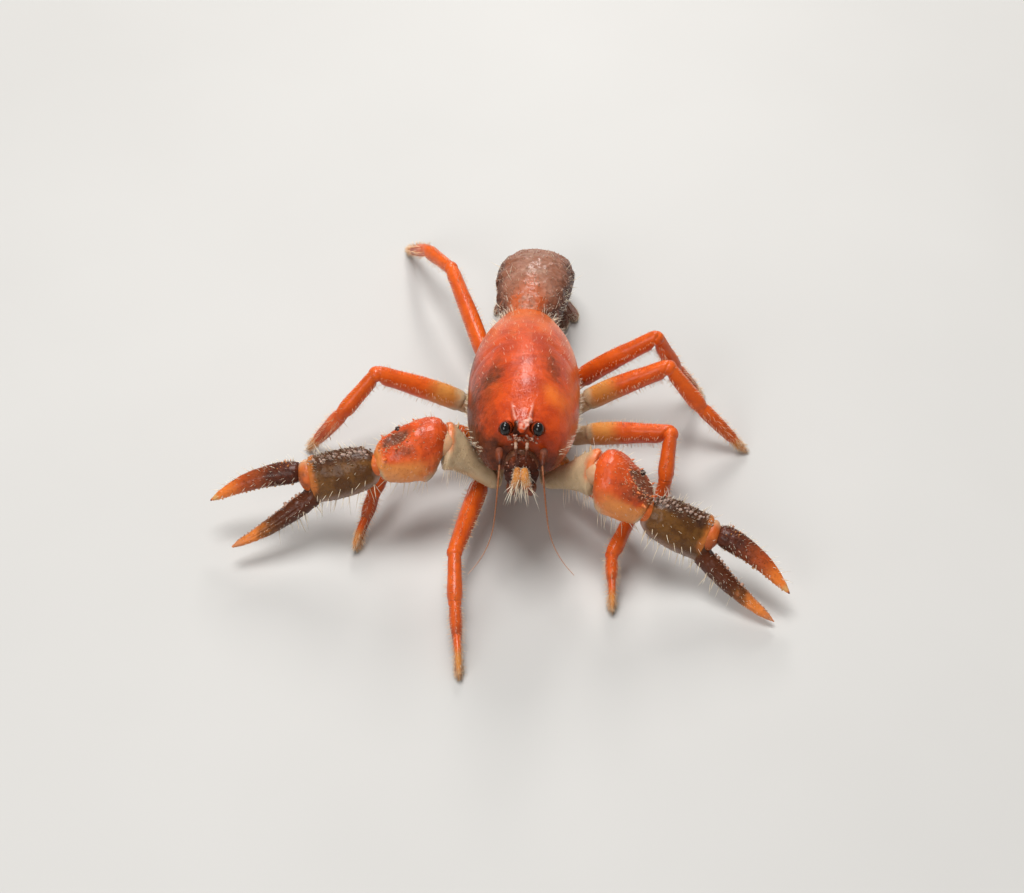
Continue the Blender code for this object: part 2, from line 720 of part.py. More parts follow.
def leg_joints(key):
    """Root, knee, wrist and foot of a walking leg; the foot's last rise brings it down to the floor."""
    side = SIDES[key[0]]
    joints = [body_point(side, LEG_ROOTS[key[1]])]
    *bends, (last_length, last_yaw) = LEG_POSES[key]
    for length, yaw, rise in bends:
        joints.append(joints[-1] + heading(yaw, rise) * length)
    drop = joints[-1].z
    joints.append(joints[-1] + heading(last_yaw, -math.degrees(math.asin(drop / last_length))) * last_length)
    return joints


def leg_up(key, stretch):
    """The direction square to a stretch and in its own upright plane."""
    yaw = LEG_POSES[key][stretch][1]
    return Vector((0, 0, 1)) if stretch == 0 else heading(yaw, 60)


def make_leg(key, collection):
    root, knee, wrist, foot = leg_joints(key)
    upper, carpus = (knee - root).normalized(), (wrist - knee).normalized()
    hand = (foot - wrist).normalized()
    knee_plane, wrist_plane = bisector(upper, carpus), bisector(carpus, hand)
    thin = LEG_SCALE[key[1]]
    sized = lambda rows: tuple((t, w * thin, h * thin) for t, w, h in rows)
    rings = stretch_rings(
        root, knee, sized(LEG_UPPER), leg_up(key, 0), LEG_SIDES,
        end_normal=knee_plane, end_gap=half_gap(upper, knee_plane), bow=LEG_BOW[key[1]],
    )
    mesh_object(f"leg_{key}_upper", rings, "shell_orange", collection)
    rings = stretch_rings(
        knee, wrist, sized(LEG_CARPUS), leg_up(key, 1), LEG_SIDES,
        knee_plane, wrist_plane, start_gap=half_gap(carpus, knee_plane),
    )
    chelate = key[1] in "23"
    palm = sized(HAND_PALM if chelate else LEG_PROPODUS)
    rings += stretch_rings(wrist, foot, palm, leg_up(key, 2), LEG_SIDES, wrist_plane)
    ahead = Vector((hand.x, hand.y, 0)).normalized()
    across = ahead.cross(Vector((0, 0, 1)))
    rings.append(oval(foot, across, ahead, FOOT_RADIUS * 0.8, FOOT_RADIUS, LEG_SIDES))
    lower = mesh_object(f"leg_{key}_lower", rings, "shell_orange", collection)
    if chelate:
        side = hand.cross(leg_up(key, 2)).normalized()
        up = side.cross(hand)
        length = (foot - wrist).length
        centres, sizes = [], []
        for t, w, h in HAND_FINGER:
            lift = HAND_SPREAD * math.sin(math.radians(HAND_TURN) * (t - HAND_PARTING) / (1 - HAND_PARTING))
            centres.append(wrist + hand * (length * t) + up * lift)
            sizes.append((w, h))
        finger = curved_tube("finger", centres, sizes, up, "shell_orange", collection, LEG_SIDES)
        fuse(lower, [finger], "UNION")


def spikes(spots, start, end, stations, up, outer, slot, collection):
    """Small cones that stand on a limb piece, each at its place along and turn from the upper edge."""
    along = (end - start).normalized()
    side = along.cross(up).normalized()
    up = side.cross(along)
    pieces = []
    for place, turn, radius, length in spots:
        half_width, half_height = curve_row(stations, place)
        a = math.radians(turn)
        foot = start + (end - start) * place
        foot += side * (outer * half_width * math.sin(a)) + up * (half_height * math.cos(a))
        out = (side * (outer * math.sin(a) / half_width) + up * (math.cos(a) / half_height)).normalized()
        rail = [foot - out * radius] + [foot + out * (length * height) for height, _ in SPINE]
        sizes = [(radius, radius)] + [(radius * width, radius * width) for _, width in SPINE]
        pieces.append(curved_tube("spike", rail, sizes, along, slot, collection, 6))
    return pieces


def finger_teeth(centres, sizes, inward, slot, collection):
    """Rounded teeth along a finger's cutting edge, biggest near its base."""
    pieces = []
    for i in range(TEETH):
        t = TEETH_START + TEETH_LENGTH * i / (TEETH - 1)
        place = t * (len(centres) - 1)
        k = min(int(place), len(centres) - 2)
        centre = centres[k].lerp(centres[k + 1], place - k)
        depth = sizes[k][1] + (sizes[k + 1][1] - sizes[k][1]) * (place - k)
        radius = TOOTH_RADIUS * (1 - TOOTH_LOSS * t) * random.uniform(0.75, 1.2)
        seat = centre + inward * (depth * TOOTH_SEAT)
        pieces.append(ball("tooth", seat, (radius,) * 3, slot, collection, 6, 4))
    return pieces


def press_hollow(rings, start, end, up, outer):
    """Presses the carpus's hollow into its rings."""
    place, turn, half_length, half_width, depth = HOLLOW
    along = (end - start).normalized()
    side = along.cross(up).normalized()
    up = side.cross(along)
    a = math.radians(turn)
    out = side * (outer * math.sin(a)) + up * math.cos(a)
    middle = start + (end - start) * place
    for ring in rings:
        for k, point in enumerate(ring):
            offset = point - middle
            if offset.dot(out) < 0:
                continue
            across = offset.dot(out.cross(along))
            share = (offset.dot(along) / half_length) ** 2 + (across / half_width) ** 2
            ring[k] = point - out * (depth * max(0.0, 1 - share) ** 1.5)


def palm_tubercles():
    """The palm's rows of tubercles as spots for spikes."""
    spots = []
    for turn, count, radius in PALM_ROWS:
        for k in range(count):
            place = PALM_ROW_START + PALM_ROW_LENGTH * k / (count - 1)
            spots.append((place, turn, radius * random.uniform(0.8, 1.2), radius * TUBERCLE_HEIGHT))
    return spots


def finger_line(root, way, lift, length, bow, rows):
    """The bowed centre line of a finger at the places of its table."""
    return [root + way * (length * t) + lift * (bow * math.sin(math.pi * t)) for t, *_ in rows]


def make_claw(letter, collection):
    """Ischium, merus, carpus, palm with the fixed finger, and moving finger."""
    outer = SIDES[letter]
    joints = [body_point(outer, CLAW_ROOT)]
    for length, yaw, rise in CLAW_POSES[letter][:4]:
        joints.append(joints[-1] + heading(yaw, rise) * length)
    ways = [(b - a).normalized() for a, b in zip(joints, joints[1:])]
    planes = [None] + [bisector(a, b) for a, b in zip(ways, ways[1:])] + [None]
    lean = Vector(CLAW_LEAN[letter])
    ups = (Vector((0, 0, 1)), Vector(MERUS_UP), lean, lean)
    slots = ("shell_cream", "shell_cream", "shell_orange", "claw_brown")
    tables = (CLAW_ISCHIUM, CLAW_MERUS, CLAW_CARPUS, CLAW_PALM)
    palm_up = ways[3].cross(lean).normalized().cross(ways[3])
    for i, part in enumerate(("ischium", "merus", "carpus", "palm")):
        start, end = joints[i], joints[i + 1]
        start_gap = half_gap(ways[i], planes[i]) if planes[i] else 0.0
        end_gap = half_gap(ways[i], planes[i + 1]) if planes[i + 1] else 0.0
        sides = CARPUS_SIDES if part == "carpus" else CLAW_SIDES
        rings = stretch_rings(
            start, end, tables[i], ups[i], sides, planes[i], planes[i + 1], start_gap, end_gap
        )
        spots = {"merus": MERUS_SPINES, "carpus": CARPUS_SPINES, "palm": palm_tubercles()}.get(part, ())
        extras = spikes(spots, start, end, tables[i], ups[i], outer, slots[i], collection)
        if part == "carpus":
            press_hollow(rings, start, end, lean, outer)
        if part == "palm":
            length, *turns = CLAW_POSES[letter][5]
            way, root = heading(*turns), end - palm_up * FINGER_DROP
            edge = way.cross(lean).normalized()
            lift = edge.cross(way)
            centres = finger_line(root, way, lift, length, -FIXED_BOW, FIXED_FINGER)
            sizes = [row[1:] for row in FIXED_FINGER]
            rings += [oval(c, edge, lift, *size, sides) for c, size in zip(centres, sizes)]
            extras += finger_teeth(centres, sizes, lift, slots[i], collection)
        piece = mesh_object(f"claw_{letter}_{part}", rings, slots[i], collection)
        if extras:
            fuse(piece, extras, "UNION")
    length, *turns = CLAW_POSES[letter][4]
    way, root = heading(*turns), joints[4] + palm_up * FINGER_RISE + ways[3] * FINGER_START
    lift = way.cross(lean).normalized().cross(way)
    centres = finger_line(root, way, lift, length, FINGER_BOW, MOVING_FINGER)
    sizes = [row[1:] for row in MOVING_FINGER]
    name = f"claw_{letter}_finger"
    finger = curved_tube(name, centres, sizes, lean, "claw_brown", collection, CLAW_SIDES)
    fuse(finger, finger_teeth(centres, sizes, -lift, "claw_brown", collection), "UNION")


def set_on_origin(collection):
    """Hangs every node on one empty, moved so that the model's box is centred and stands on Z = 0."""
    base = bpy.data.objects.new(NAME, None)
    corners = [thing.matrix_world @ v.co for thing in collection.objects for v in thing.data.vertices]
    low = Vector([min(p[k] for p in corners) for k in range(3)])
    high = Vector([max(p[k] for p in corners) for k in range(3)])
    for thing in collection.objects:
        thing.parent = base
    base.location = (-(low.x + high.x) / 2, -(low.y + high.y) / 2, -low.z)
    collection.objects.link(base)


def main():
    clear_scene()
    random.seed(7)
    collection = bpy.data.collections.new(NAME)
    bpy.context.scene.collection.children.link(collection)
    make_carapace(collection)
    make_sternum(collection)
    make_eyes(collection)
    make_face(collection)
    make_fan(make_abdomen(collection), collection)
    for key in LEG_POSES:
        make_leg(key, collection)
    for letter in SIDES:
        make_claw(letter, collection)
    set_on_origin(collection)


main()
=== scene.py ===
"""Looks of a lilly pilly burrowing crayfish at life size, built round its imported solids.

Sizes are in millimetres and angles in degrees, in the place where the solids were drawn; to_frame()
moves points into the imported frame, in metres. The animal faces -Y, its right side is at -X and the
floor is Z = 0. A table's last two columns are half widths and half heights, and its first column is
the share of the length, where the comment above it says nothing else.
"""

import math
import random

import bpy
import numpy as np
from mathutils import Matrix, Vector

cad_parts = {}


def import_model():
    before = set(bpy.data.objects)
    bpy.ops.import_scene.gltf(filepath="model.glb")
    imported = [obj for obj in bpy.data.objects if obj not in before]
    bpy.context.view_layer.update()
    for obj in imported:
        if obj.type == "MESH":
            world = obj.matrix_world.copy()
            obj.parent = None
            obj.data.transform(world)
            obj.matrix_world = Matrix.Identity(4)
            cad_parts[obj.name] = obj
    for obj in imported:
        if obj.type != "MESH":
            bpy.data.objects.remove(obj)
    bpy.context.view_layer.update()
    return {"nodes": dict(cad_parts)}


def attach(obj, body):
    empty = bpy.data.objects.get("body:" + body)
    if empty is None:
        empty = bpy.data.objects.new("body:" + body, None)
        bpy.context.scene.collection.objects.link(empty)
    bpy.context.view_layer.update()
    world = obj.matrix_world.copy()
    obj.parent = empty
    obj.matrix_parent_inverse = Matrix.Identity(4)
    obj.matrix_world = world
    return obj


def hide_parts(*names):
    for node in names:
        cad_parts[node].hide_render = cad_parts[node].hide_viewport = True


MM = 0.001
UP = np.array((0, 0, 1.0))
BASE = np.array((2.37, 0.24, 0.0))
GAP = 0.3
SKEW_REACH, SKEW_LEAN = 0.4, 1.6
SIDES = {"R": -1, "L": 1}

# Photograph: camera elevation, distance, focal length in pixels, and the pixel that shows the anchor point
PHOTO_SIZE = (1024, 893)
CAMERA_RISE, CAMERA_DISTANCE, CAMERA_FOCAL = 50.0, 220.0, 2420.0
CAMERA_ANCHOR = (0.0, -1.5, 10.0)
CAMERA_PIXEL = (523, 390)
SENSOR = 36.0

# How the body is held
BODY_PITCH, BODY_YAW = 14.0, 1.6
BODY_ORIGIN = np.array((0.05, -3.3, 4.66))

# Carapace: place along the body, half width, height of the back, height of the lower edge
CARAPACE = (
    (-9.4, 3.20, 8.7, 3.7), (-8.4, 3.85, 9.2, 3.1), (-7.0, 4.35, 9.6, 2.6), (-4.8, 4.90, 10.1, 2.0),
    (-1.5, 5.05, 10.4, 1.4), (2.0, 5.05, 10.3, 1.1), (5.0, 4.70, 9.9, 1.3), (7.4, 4.10, 9.2, 1.9),
    (9.2, 3.30, 8.5, 3.0), (10.3, 2.65, 8.1, 4.0),
)
CARAPACE_WAIST, CARAPACE_EDGE, CARAPACE_HEART = 0.46, 135.0, 5.5
FRONT_Y, REAR_Y = CARAPACE[0][0], CARAPACE[-1][0]
GROOVE_Y, GROOVE_SWEEP, GROOVE_DEPTH, GROOVE_WIDTH = 2.4, 6.4, 0.09, 0.5
FACE_BULGE, FACE_HEART, FACE_RINGS = 0.35, 5.6, 24
FLOOR_SIDES, FLOOR_RISE = 24, 0.5

# Stations in the body frame, at the animal's left: x, y, z, half width and half height
ROSTRUM = (
    (0, -5.3, 8.7, 1.0, 0.4), (0, -6.9, 8.85, 1.25, 0.55), (0, -8.4, 8.88, 1.0, 0.5),
    (0, -9.6, 8.85, 0.66, 0.38), (0, -10.25, 8.6, 0.24, 0.22),
)
RIDGE = (
    (1.1, -5.0, 8.7, 0.1, 0.12), (1.0, -6.4, 9.1, 0.14, 0.18), (0.86, -7.6, 9.22, 0.18, 0.24),
    (0.66, -8.9, 9.15, 0.2, 0.26), (0.4, -9.8, 8.85, 0.16, 0.18),
)
MOUTH_PLATE = (
    (0, -10.2, 6.0, 0.7, 0.25), (0, -10.45, 5.6, 1.15, 0.5), (0, -10.65, 4.7, 1.55, 0.75),
    (0, -10.7, 3.7, 1.3, 0.75), (0, -10.6, 3.2, 0.7, 0.4),
)
ANTENNA_BASE = (
    (1.95, -9.75, 6.35, 0.4, 0.4), (1.95, -10.0, 6.35, 0.58, 0.56), (1.93, -10.5, 6.25, 0.56, 0.52),
    (1.9, -10.95, 6.05, 0.44, 0.42), (1.88, -11.35, 5.85, 0.36, 0.34),
)
ANTENNULE = (
    (0.5, -9.9, 7.45, 0.25, 0.25), (0.5, -10.25, 7.35, 0.34, 0.32), (0.47, -10.75, 7.1, 0.3, 0.28),
    (0.42, -11.1, 6.75, 0.22, 0.22), (0.38, -11.3, 6.4, 0.12, 0.12),
)
MAXILLIPED = (
    (0.8, -5.2, 0.1, 0.35, 0.4), (0.8, -5.6, 0.15, 0.5, 0.55), (0.8, -8.3, 1.1, 0.52, 0.6),
    (0.8, -9.8, 2.1, 0.50, 0.56), (0.72, -10.8, 2.8, 0.42, 0.46), (0.58, -11.5, 3.4, 0.42, 0.42),
    (0.44, -11.95, 4.3, 0.44, 0.42), (0.35, -12.0, 5.1, 0.42, 0.38), (0.28, -11.8, 5.7, 0.27, 0.24),
)
ANTENNA_THIN, ANTENNULE_THIN = (0.62, 0.5), (0.45, 0.45)
# Flesh behind the mouth plate and between the jaws: places in the body frame, and radii
MOUTH_FLESH = (((0, -9.75, 4.8), (1.5, 0.75, 1.6)), ((0, -9.1, 3.3), (1.35, 1.0, 1.1)))
EYE_PLACE, EYE_RADII = np.array((1.45, -9.75, 8.55)), (0.50, 0.56, 0.64)
EYE_STALK_END = (1.05, -8.95, 8.2)
EYE_STALK = ((0.0, 0.34, 0.34), (0.35, 0.44, 0.46), (0.7, 0.52, 0.58), (0.88, 0.52, 0.58))
SOCKET_RADIUS = 0.88
FACE_GRAINS = 70
# Feeler: turn outward and rise of each step, and how it tapers
FEELER_BENDS = ((5, -25), (8, -50), (14, -66), (20, -66), (28, -48), (34, -26), (38, -10))
FEELER_STEP, FEELER_RADIUS, FEELER_TAPER, FEELER_RINGS = 1.5, 0.10, 0.09, 34

# Abdomen segments: length, slope, half width, height above and below the centre line
ABDOMEN = (
    (1.9, 0, 2.30, 2.05, 1.6), (3.0, -4, 3.30, 2.25, 1.9), (2.9, -16, 3.65, 2.35, 1.9),
    (2.6, -38, 3.60, 2.30, 1.8), (2.3, -66, 3.20, 2.00, 1.4), (2.1, -90, 2.70, 1.45, 1.0),
)
ABDOMEN_START, ABDOMEN_YAW, ABDOMEN_EDGE = (0.32, 8.35, 7.75), 83.0, 118.0
# Tergites: size along each, how much each widens at its front and rear edge, and how orange its back is
TERGITE_SWELL = ((0.0, 0.93), (0.16, 0.975), (0.5, 1.0), (0.85, 0.995), (1.0, 0.97))
TERGITE_FLARE = ((0.0, 0.22), (-0.12, 0.03), (0.0, 0.0), (0.0, 0.0), (0.03, 0.0), (0.06, 0.0))
WAIST_ORANGE = (1.1, 0.75, 0.1, 0.0, 0.0, 0.0)
TERGITE_LAP, WAIST_TUCK = 0.12, 0.6
# Tail fan: offset across, splay, length, and half widths at foot, middle and end
FAN = {
    "telson": (0.0, 0.0, 5.0, 0.90, 1.15, 0.90),
    "uropod_inner": (1.45, 18.0, 4.6, 0.35, 0.72, 0.55),
    "uropod_outer": (2.10, 30.0, 3.6, 0.30, 0.66, 0.48),
}
FAN_START, FAN_HEIGHT, FAN_THICK = -0.9, 0.32, 0.6
FAN_END_FLARE, FAN_TIP = 0.12, 0.6
# A vane's thickness: place along it, and share of FAN_THICK
FAN_VANE = ((0.0, 0.8), (0.3, 1.0), (0.65, 1.0), (0.88, 0.9), (1.0, 0.6))

# Walking legs: root in the body frame, then length, yaw and rise of each stretch
# The last stretch's rise comes from the floor
LEG_ROOTS = {"2": (3.0, -0.4, -1.6), "3": (2.8, 2.3, -1.1), "4": (2.7, 5.2, -0.9), "5": (2.4, 8.0, -0.7)}
LEG_POSES = {
    "R2": ((12.2, 255, 5), (4.8, 271, -15), (6.9, 274)),
    "R3": ((10.1, 199, 18), (5.1, 247, -26), (5.6, 246)),
    "R4": ((12.8, 182, 31), (5.2, 208, -44), (6.5, 176)),
    "R5": ((14.6, 110, 17), (5.0, 121, -19), (6.9, 116)),
    "L2": ((9.9, -47, 5), (4.3, -116, -13), (5.1, -90)),
    "L3": ((11.7, -16, 21), (4.3, -98, -31), (5.4, -120)),
    "L4": ((12.3, 5, 30), (5.3, -24, -49), (6.6, -19)),
    "L5": ((12.6, 4, 39), (4.8, 4, -66), (6.4, 23)),
}
LEG_SCALE = {"2": 0.94, "3": 1.0, "4": 0.98, "5": 0.9}
LEG_BOW = {"2": 0.2, "3": 0.45, "4": 0.5, "5": 0.5}
LEG_LEAN = 60
LEG_UPPER = (
    (0.00, 0.45, 0.50), (0.02, 0.72, 0.80), (0.08, 0.84, 0.92), (0.14, 0.68, 0.82), (0.20, 0.80, 0.98),
    (0.30, 0.78, 0.98), (0.36, 0.92, 1.14), (0.62, 0.90, 1.14), (0.88, 0.78, 0.96), (0.97, 0.74, 0.86),
    (1.00, 0.58, 0.68),
)
LEG_CARPUS = (
    (0.00, 0.52, 0.62), (0.06, 0.62, 0.74), (0.45, 0.68, 0.80), (0.85, 0.74, 0.84), (1.00, 0.60, 0.70),
)
LEG_PROPODUS = (
    (0.10, 0.62, 0.74), (0.45, 0.56, 0.66), (0.68, 0.48, 0.54), (0.73, 0.38, 0.44), (0.90, 0.27, 0.30),
)
HAND_PALM = (
    (0.08, 0.58, 0.76), (0.26, 0.60, 0.84), (0.38, 0.52, 0.74), (0.52, 0.38, 0.50), (0.75, 0.29, 0.35),
    (0.92, 0.25, 0.27),
)
HAND_FINGER = ((0.36, 0.34, 0.40), (0.60, 0.32, 0.38), (0.82, 0.24, 0.26), (0.93, 0.12, 0.14))
HAND_SPREAD, HAND_PARTING, HAND_TURN = 0.95, 0.3, 112.0
KNEE_RADIUS, WRIST_RADIUS = 0.76, 0.64
# How far along its first stretch each leg is cream, and how brown it is
LEG_CREAM = {"R2": 0.1, "R3": 0.16, "R4": 0.44, "R5": 0.12, "L2": 0.14, "L3": 0.43, "L4": 0.43, "L5": 0.14}
LEG_BROWN = {"R2": 0.35, "R3": 0.5, "R4": 0.15, "R5": 0.2, "L2": 0.25, "L3": 0.1, "L4": 0.1, "L5": 0.3}
# Rows of bristles on a leg's first stretch: turn from its outer side, and where each starts
LEG_COMBS = ((90, 0.3), (20, 0.4), (160, 0.4), (270, 0.4), (230, 0.45), (310, 0.45))

# Claws: root in the body frame, then length, yaw and rise of each stretch,
# which are ischium, merus, carpus, palm, moving finger and fixed finger
CLAW_ROOT = (2.2, -2.6, 0.0)
CLAW_POSES = {
    "R": ((2.4, 260, -4), (6.5, 174, 46), (6.2, 195, -10), (6.3, 181, -20), (9.0, 186, -20), (9.0, 206, -21)),
    "L": ((2.3, -88, -2), (6.9, -33, 42), (5.6, -28, -28), (5.9, -16, -22), (8.3, -37, -19), (9.1, -39, -22)),
}
MERUS_UP = np.array((0, 0.77, 0.64))
CLAW_LEAN = {"R": np.array((-0.31, 0.54, 0.78)), "L": np.array((0.40, 0.50, 0.77))}
CLAW_ISCHIUM = (
    (0.00, 0.45, 0.45), (0.08, 0.75, 0.75), (0.35, 0.70, 0.72), (0.90, 0.75, 0.80), (1.00, 0.60, 0.65),
)
CLAW_MERUS = (
    (0.00, 0.60, 0.65), (0.08, 0.80, 0.85), (0.45, 0.95, 1.20), (0.80, 1.15, 1.80), (0.94, 1.25, 2.00),
    (1.00, 1.00, 1.75),
)
CLAW_CARPUS = (
    (0.00, 1.00, 1.60), (0.08, 1.50, 2.30), (0.20, 1.95, 2.70), (0.34, 2.10, 2.75), (0.48, 2.10, 2.60),
    (0.62, 2.00, 2.45), (0.76, 1.80, 2.25), (0.88, 1.50, 1.95), (0.96, 1.25, 1.65), (1.00, 0.95, 1.30),
)
CLAW_PALM = (
    (0.00, 0.85, 1.20), (0.06, 1.10, 1.60), (0.22, 1.35, 2.00), (0.50, 1.45, 2.20), (0.80, 1.40, 2.20),
    (0.96, 1.25, 2.10),
)
FIXED_FINGER = (
    (0.06, 1.00, 0.98), (0.25, 0.92, 0.92), (0.50, 0.76, 0.76), (0.75, 0.54, 0.54), (0.92, 0.32, 0.30),
    (1.00, 0.10, 0.10),
)
MOVING_FINGER = (
    (0.00, 0.55, 0.60), (0.05, 0.92, 0.92), (0.16, 0.98, 1.05), (0.40, 0.84, 0.92), (0.65, 0.64, 0.72),
    (0.86, 0.40, 0.44), (0.96, 0.22, 0.22), (1.00, 0.08, 0.08),
)
FINGER_DROP, FINGER_RISE, FINGER_START = 1.15, 1.1, 0.62
FINGER_BOW, FIXED_BOW = 0.55, -0.33
FINGER_STEPS, TEETH, FINGER_GRANULES = 120, 19, 34
KNUCKLE, KNUCKLE_RISE = np.array((1.3, 1.0, 1.55)), 0.5
# Soft skin in a claw's first three joints: radius, and how pale it is
CLAW_JOINTS = ((0.66, 0.9), (1.25, 0.6), (1.05, 0.0))
# Hollow of the carpus: place along, turn from the upper edge, half length, half width, depth
HOLLOW = (0.62, 22.0, 2.1, 0.95, 0.5)
CARPUS_MUD = {"R": 0.15, "L": 0.6}
# Spines: place along, turn from the upper edge, radius, length
CARPUS_SPINES = (
    (0.86, 74, 0.34, 0.9), (0.66, 60, 0.24, 0.6), (0.80, -12, 0.24, 0.5), (0.52, -16, 0.22, 0.45),
    (0.30, -2, 0.22, 0.45), (0.90, 34, 0.22, 0.45), (0.48, 52, 0.2, 0.42), (0.34, 36, 0.2, 0.42),
)
MERUS_SPINES = ((0.93, 8, 0.24, 0.55), (0.76, -4, 0.2, 0.45), (0.60, 3, 0.18, 0.4))
CARPUS_GRAINS = 46
# Rows of granules on the palm: turn from its upper edge, count, radius
PALM_GRANULES = (
    (33, 17, 0.15), (25, 15, 0.13), (14, 11, 0.09), (2, 13, 0.11), (-14, 10, 0.09),
    (-28, 8, 0.08), (44, 8, 0.06),
)
# Rows of bristles: turn from the outer side, start and end along palm and finger, count, length, radius
PALM_BRISTLES = (
    (-90, 0.1, 1.5, 15, 1.7, 0.046), (-62, 0.1, 1.3, 11, 1.5, 0.044), (-30, 0.15, 1.2, 9, 1.1, 0.036),
    (0, 0.2, 1.6, 9, 0.55, 0.026), (80, 0.1, 0.95, 9, 1.15, 0.038), (100, 0.1, 0.95, 9, 1.1, 0.036),
    (130, 0.1, 1.5, 10, 0.7, 0.024), (-130, 0.1, 1.5, 10, 0.8, 0.024),
)

# Fineness of the surfaces
STEP = 0.085
LIMB_SIDES = 56
REMESH = 0.085
DOME_STEPS = 6
# Paint attributes: dark and deep give darker colours and also painted shade and shadow, pale gives pale
# colours and also painted highlights, warm gives an orange tone
PAINTS = ("dark", "pale", "warm", "deep")
# A hair's rings: place along it and share of its radius; the size of its patch on the map
HAIR_LEVELS = ((-0.04, 1.0), (0.35, 0.8), (0.7, 0.5))
HAIR_PATCH = 0.003
# A tubercle's rings: place along it, its share of its radius, and what bluntness adds
CONE_LEVELS = ((-0.5, 1.05, 0), (0, 1, 0), (0.3, 0.86, 0), (0.6, 0.62, 0), (0.85, 0.36, 0.3), (1, 0, 0.35))

LOOKS = {}


def turn_matrix():
    """The rotation of the body frame: head up by the pitch, then turned by the yaw."""
    p, y = math.radians(BODY_PITCH), math.radians(BODY_YAW)
    pitch = np.array(((1, 0, 0), (0, math.cos(p), math.sin(p)), (0, -math.sin(p), math.cos(p))))
    yaw = np.array(((math.cos(y), math.sin(y), 0), (-math.sin(y), math.cos(y), 0), (0, 0, 1)))
    return yaw @ pitch


BODY_TURN = turn_matrix()


def from_body(points, side=1):
    """Points of the body frame, on its left for side 1 and mirrored for side -1."""
    return (np.asarray(points, float) * (side, 1, 1)) @ BODY_TURN.T + BODY_ORIGIN


def into_body(points):
    return (np.asarray(points, float) - BODY_ORIGIN) @ BODY_TURN


def to_frame(points):
    return (np.asarray(points, float) + BASE) * MM


def unit(v):
    return v / np.maximum(np.linalg.norm(v, axis=-1, keepdims=True), 1e-12)


def heading(yaw, rise):
    yaw, rise = math.radians(yaw), math.radians(rise)
    return np.array((math.cos(yaw) * math.cos(rise), math.sin(yaw) * math.cos(rise), math.sin(rise)))


def axes(along, up):
    """The ways to the side and to the upper edge of a limb."""
    side = unit(np.cross(along, up))
    return side, np.cross(side, along)


def smooth(low, high, x):
    """0 below low, 1 above high, and a smooth step between them."""
    t = np.clip((np.asarray(x, float) - low) / (high - low), 0, 1)
    return t * t * (3 - 2 * t)


def hill(x, middle, width):
    """1 in the middle, and falling off to both sides."""
    return np.exp(-(((x - middle) / width) ** 2))


def curve(rows, places):
    """The smooth curve through a table's rows, read at places in its first column."""
    rows = np.asarray(rows, float)
    keys = rows[:, 0]
    places = np.clip(places, keys[0], keys[-1])
    i = np.clip(np.searchsorted(keys, places, side="right") - 1, 0, len(keys) - 2)
    before, after = rows[np.maximum(i - 1, 0)], rows[np.minimum(i + 2, len(rows) - 1)]
    low, high = rows[i], rows[i + 1]
    span = high[:, :1] - low[:, :1]
    t = (places[:, None] - low[:, :1]) / span
    start = (high - before) / (high[:, :1] - before[:, :1]) * span
    end = (after - low) / (after[:, :1] - low[:, :1]) * span
    full = (2 * t**3 - 3 * t**2 + 1) * low + (t**3 - 2 * t**2 + t) * start
    return (full + (3 * t**2 - 2 * t**3) * high + (t**3 - t**2) * end)[:, 1:]


def scaled(rows, width, height):
    return [(*row[:-2], row[-2] * width, row[-1] * height) for row in rows]


def value_noise(points, size, seed):
    """Smooth noise from -1 to 1 with lumps of the given size."""
    p = np.asarray(points, float) / size + 31.7 * seed
    cell = np.floor(p).astype(np.int64)
    f = p - cell
    f = f * f * (3 - 2 * f)
    total = np.zeros(p.shape[:-1])
    for corner in range(8):
        step = np.array((corner & 1, corner >> 1 & 1, corner >> 2 & 1))
        h = (cell + step) @ np.array((374761393, 668265263, 1440662683)) + seed * 1274126177 & 0xFFFFFFFF
        h = ((h ^ (h >> 13)) * 1274126177) & 0xFFFFFFFF
        h = (h ^ (h >> 16)) / 2147483648.0 - 1.0
        total += h * np.prod(np.where(step == 1, f, 1 - f), axis=-1)
    return total


def rough(points, size, seed):
    """Three octaves of noise."""
    weights = [1 / 1.8**k for k in range(3)]
    return sum(value_noise(points, size / 2**k, seed + k) * w for k, w in enumerate(weights)) / sum(weights)


def extended(values):
    """Values of a grid's rows, repeated over the domes at its ends."""
    first, last = np.repeat(values[:1], DOME_STEPS, 0), np.repeat(values[-1:], DOME_STEPS, 0)
    return np.concatenate((first, values, last))


def ring_angles(sides):
    return 2 * np.pi * np.arange(sides) / sides


def ovals(centres, sizes, side, rise, sides):
    """Oval rings round centres, with their half widths and half heights along two ways."""
    a = ring_angles(sides)
    rings = centres[:, None] + side * (sizes[:, :1] * np.cos(a))[..., None]
    return rings + rise * (sizes[:, 1:] * np.sin(a))[..., None]


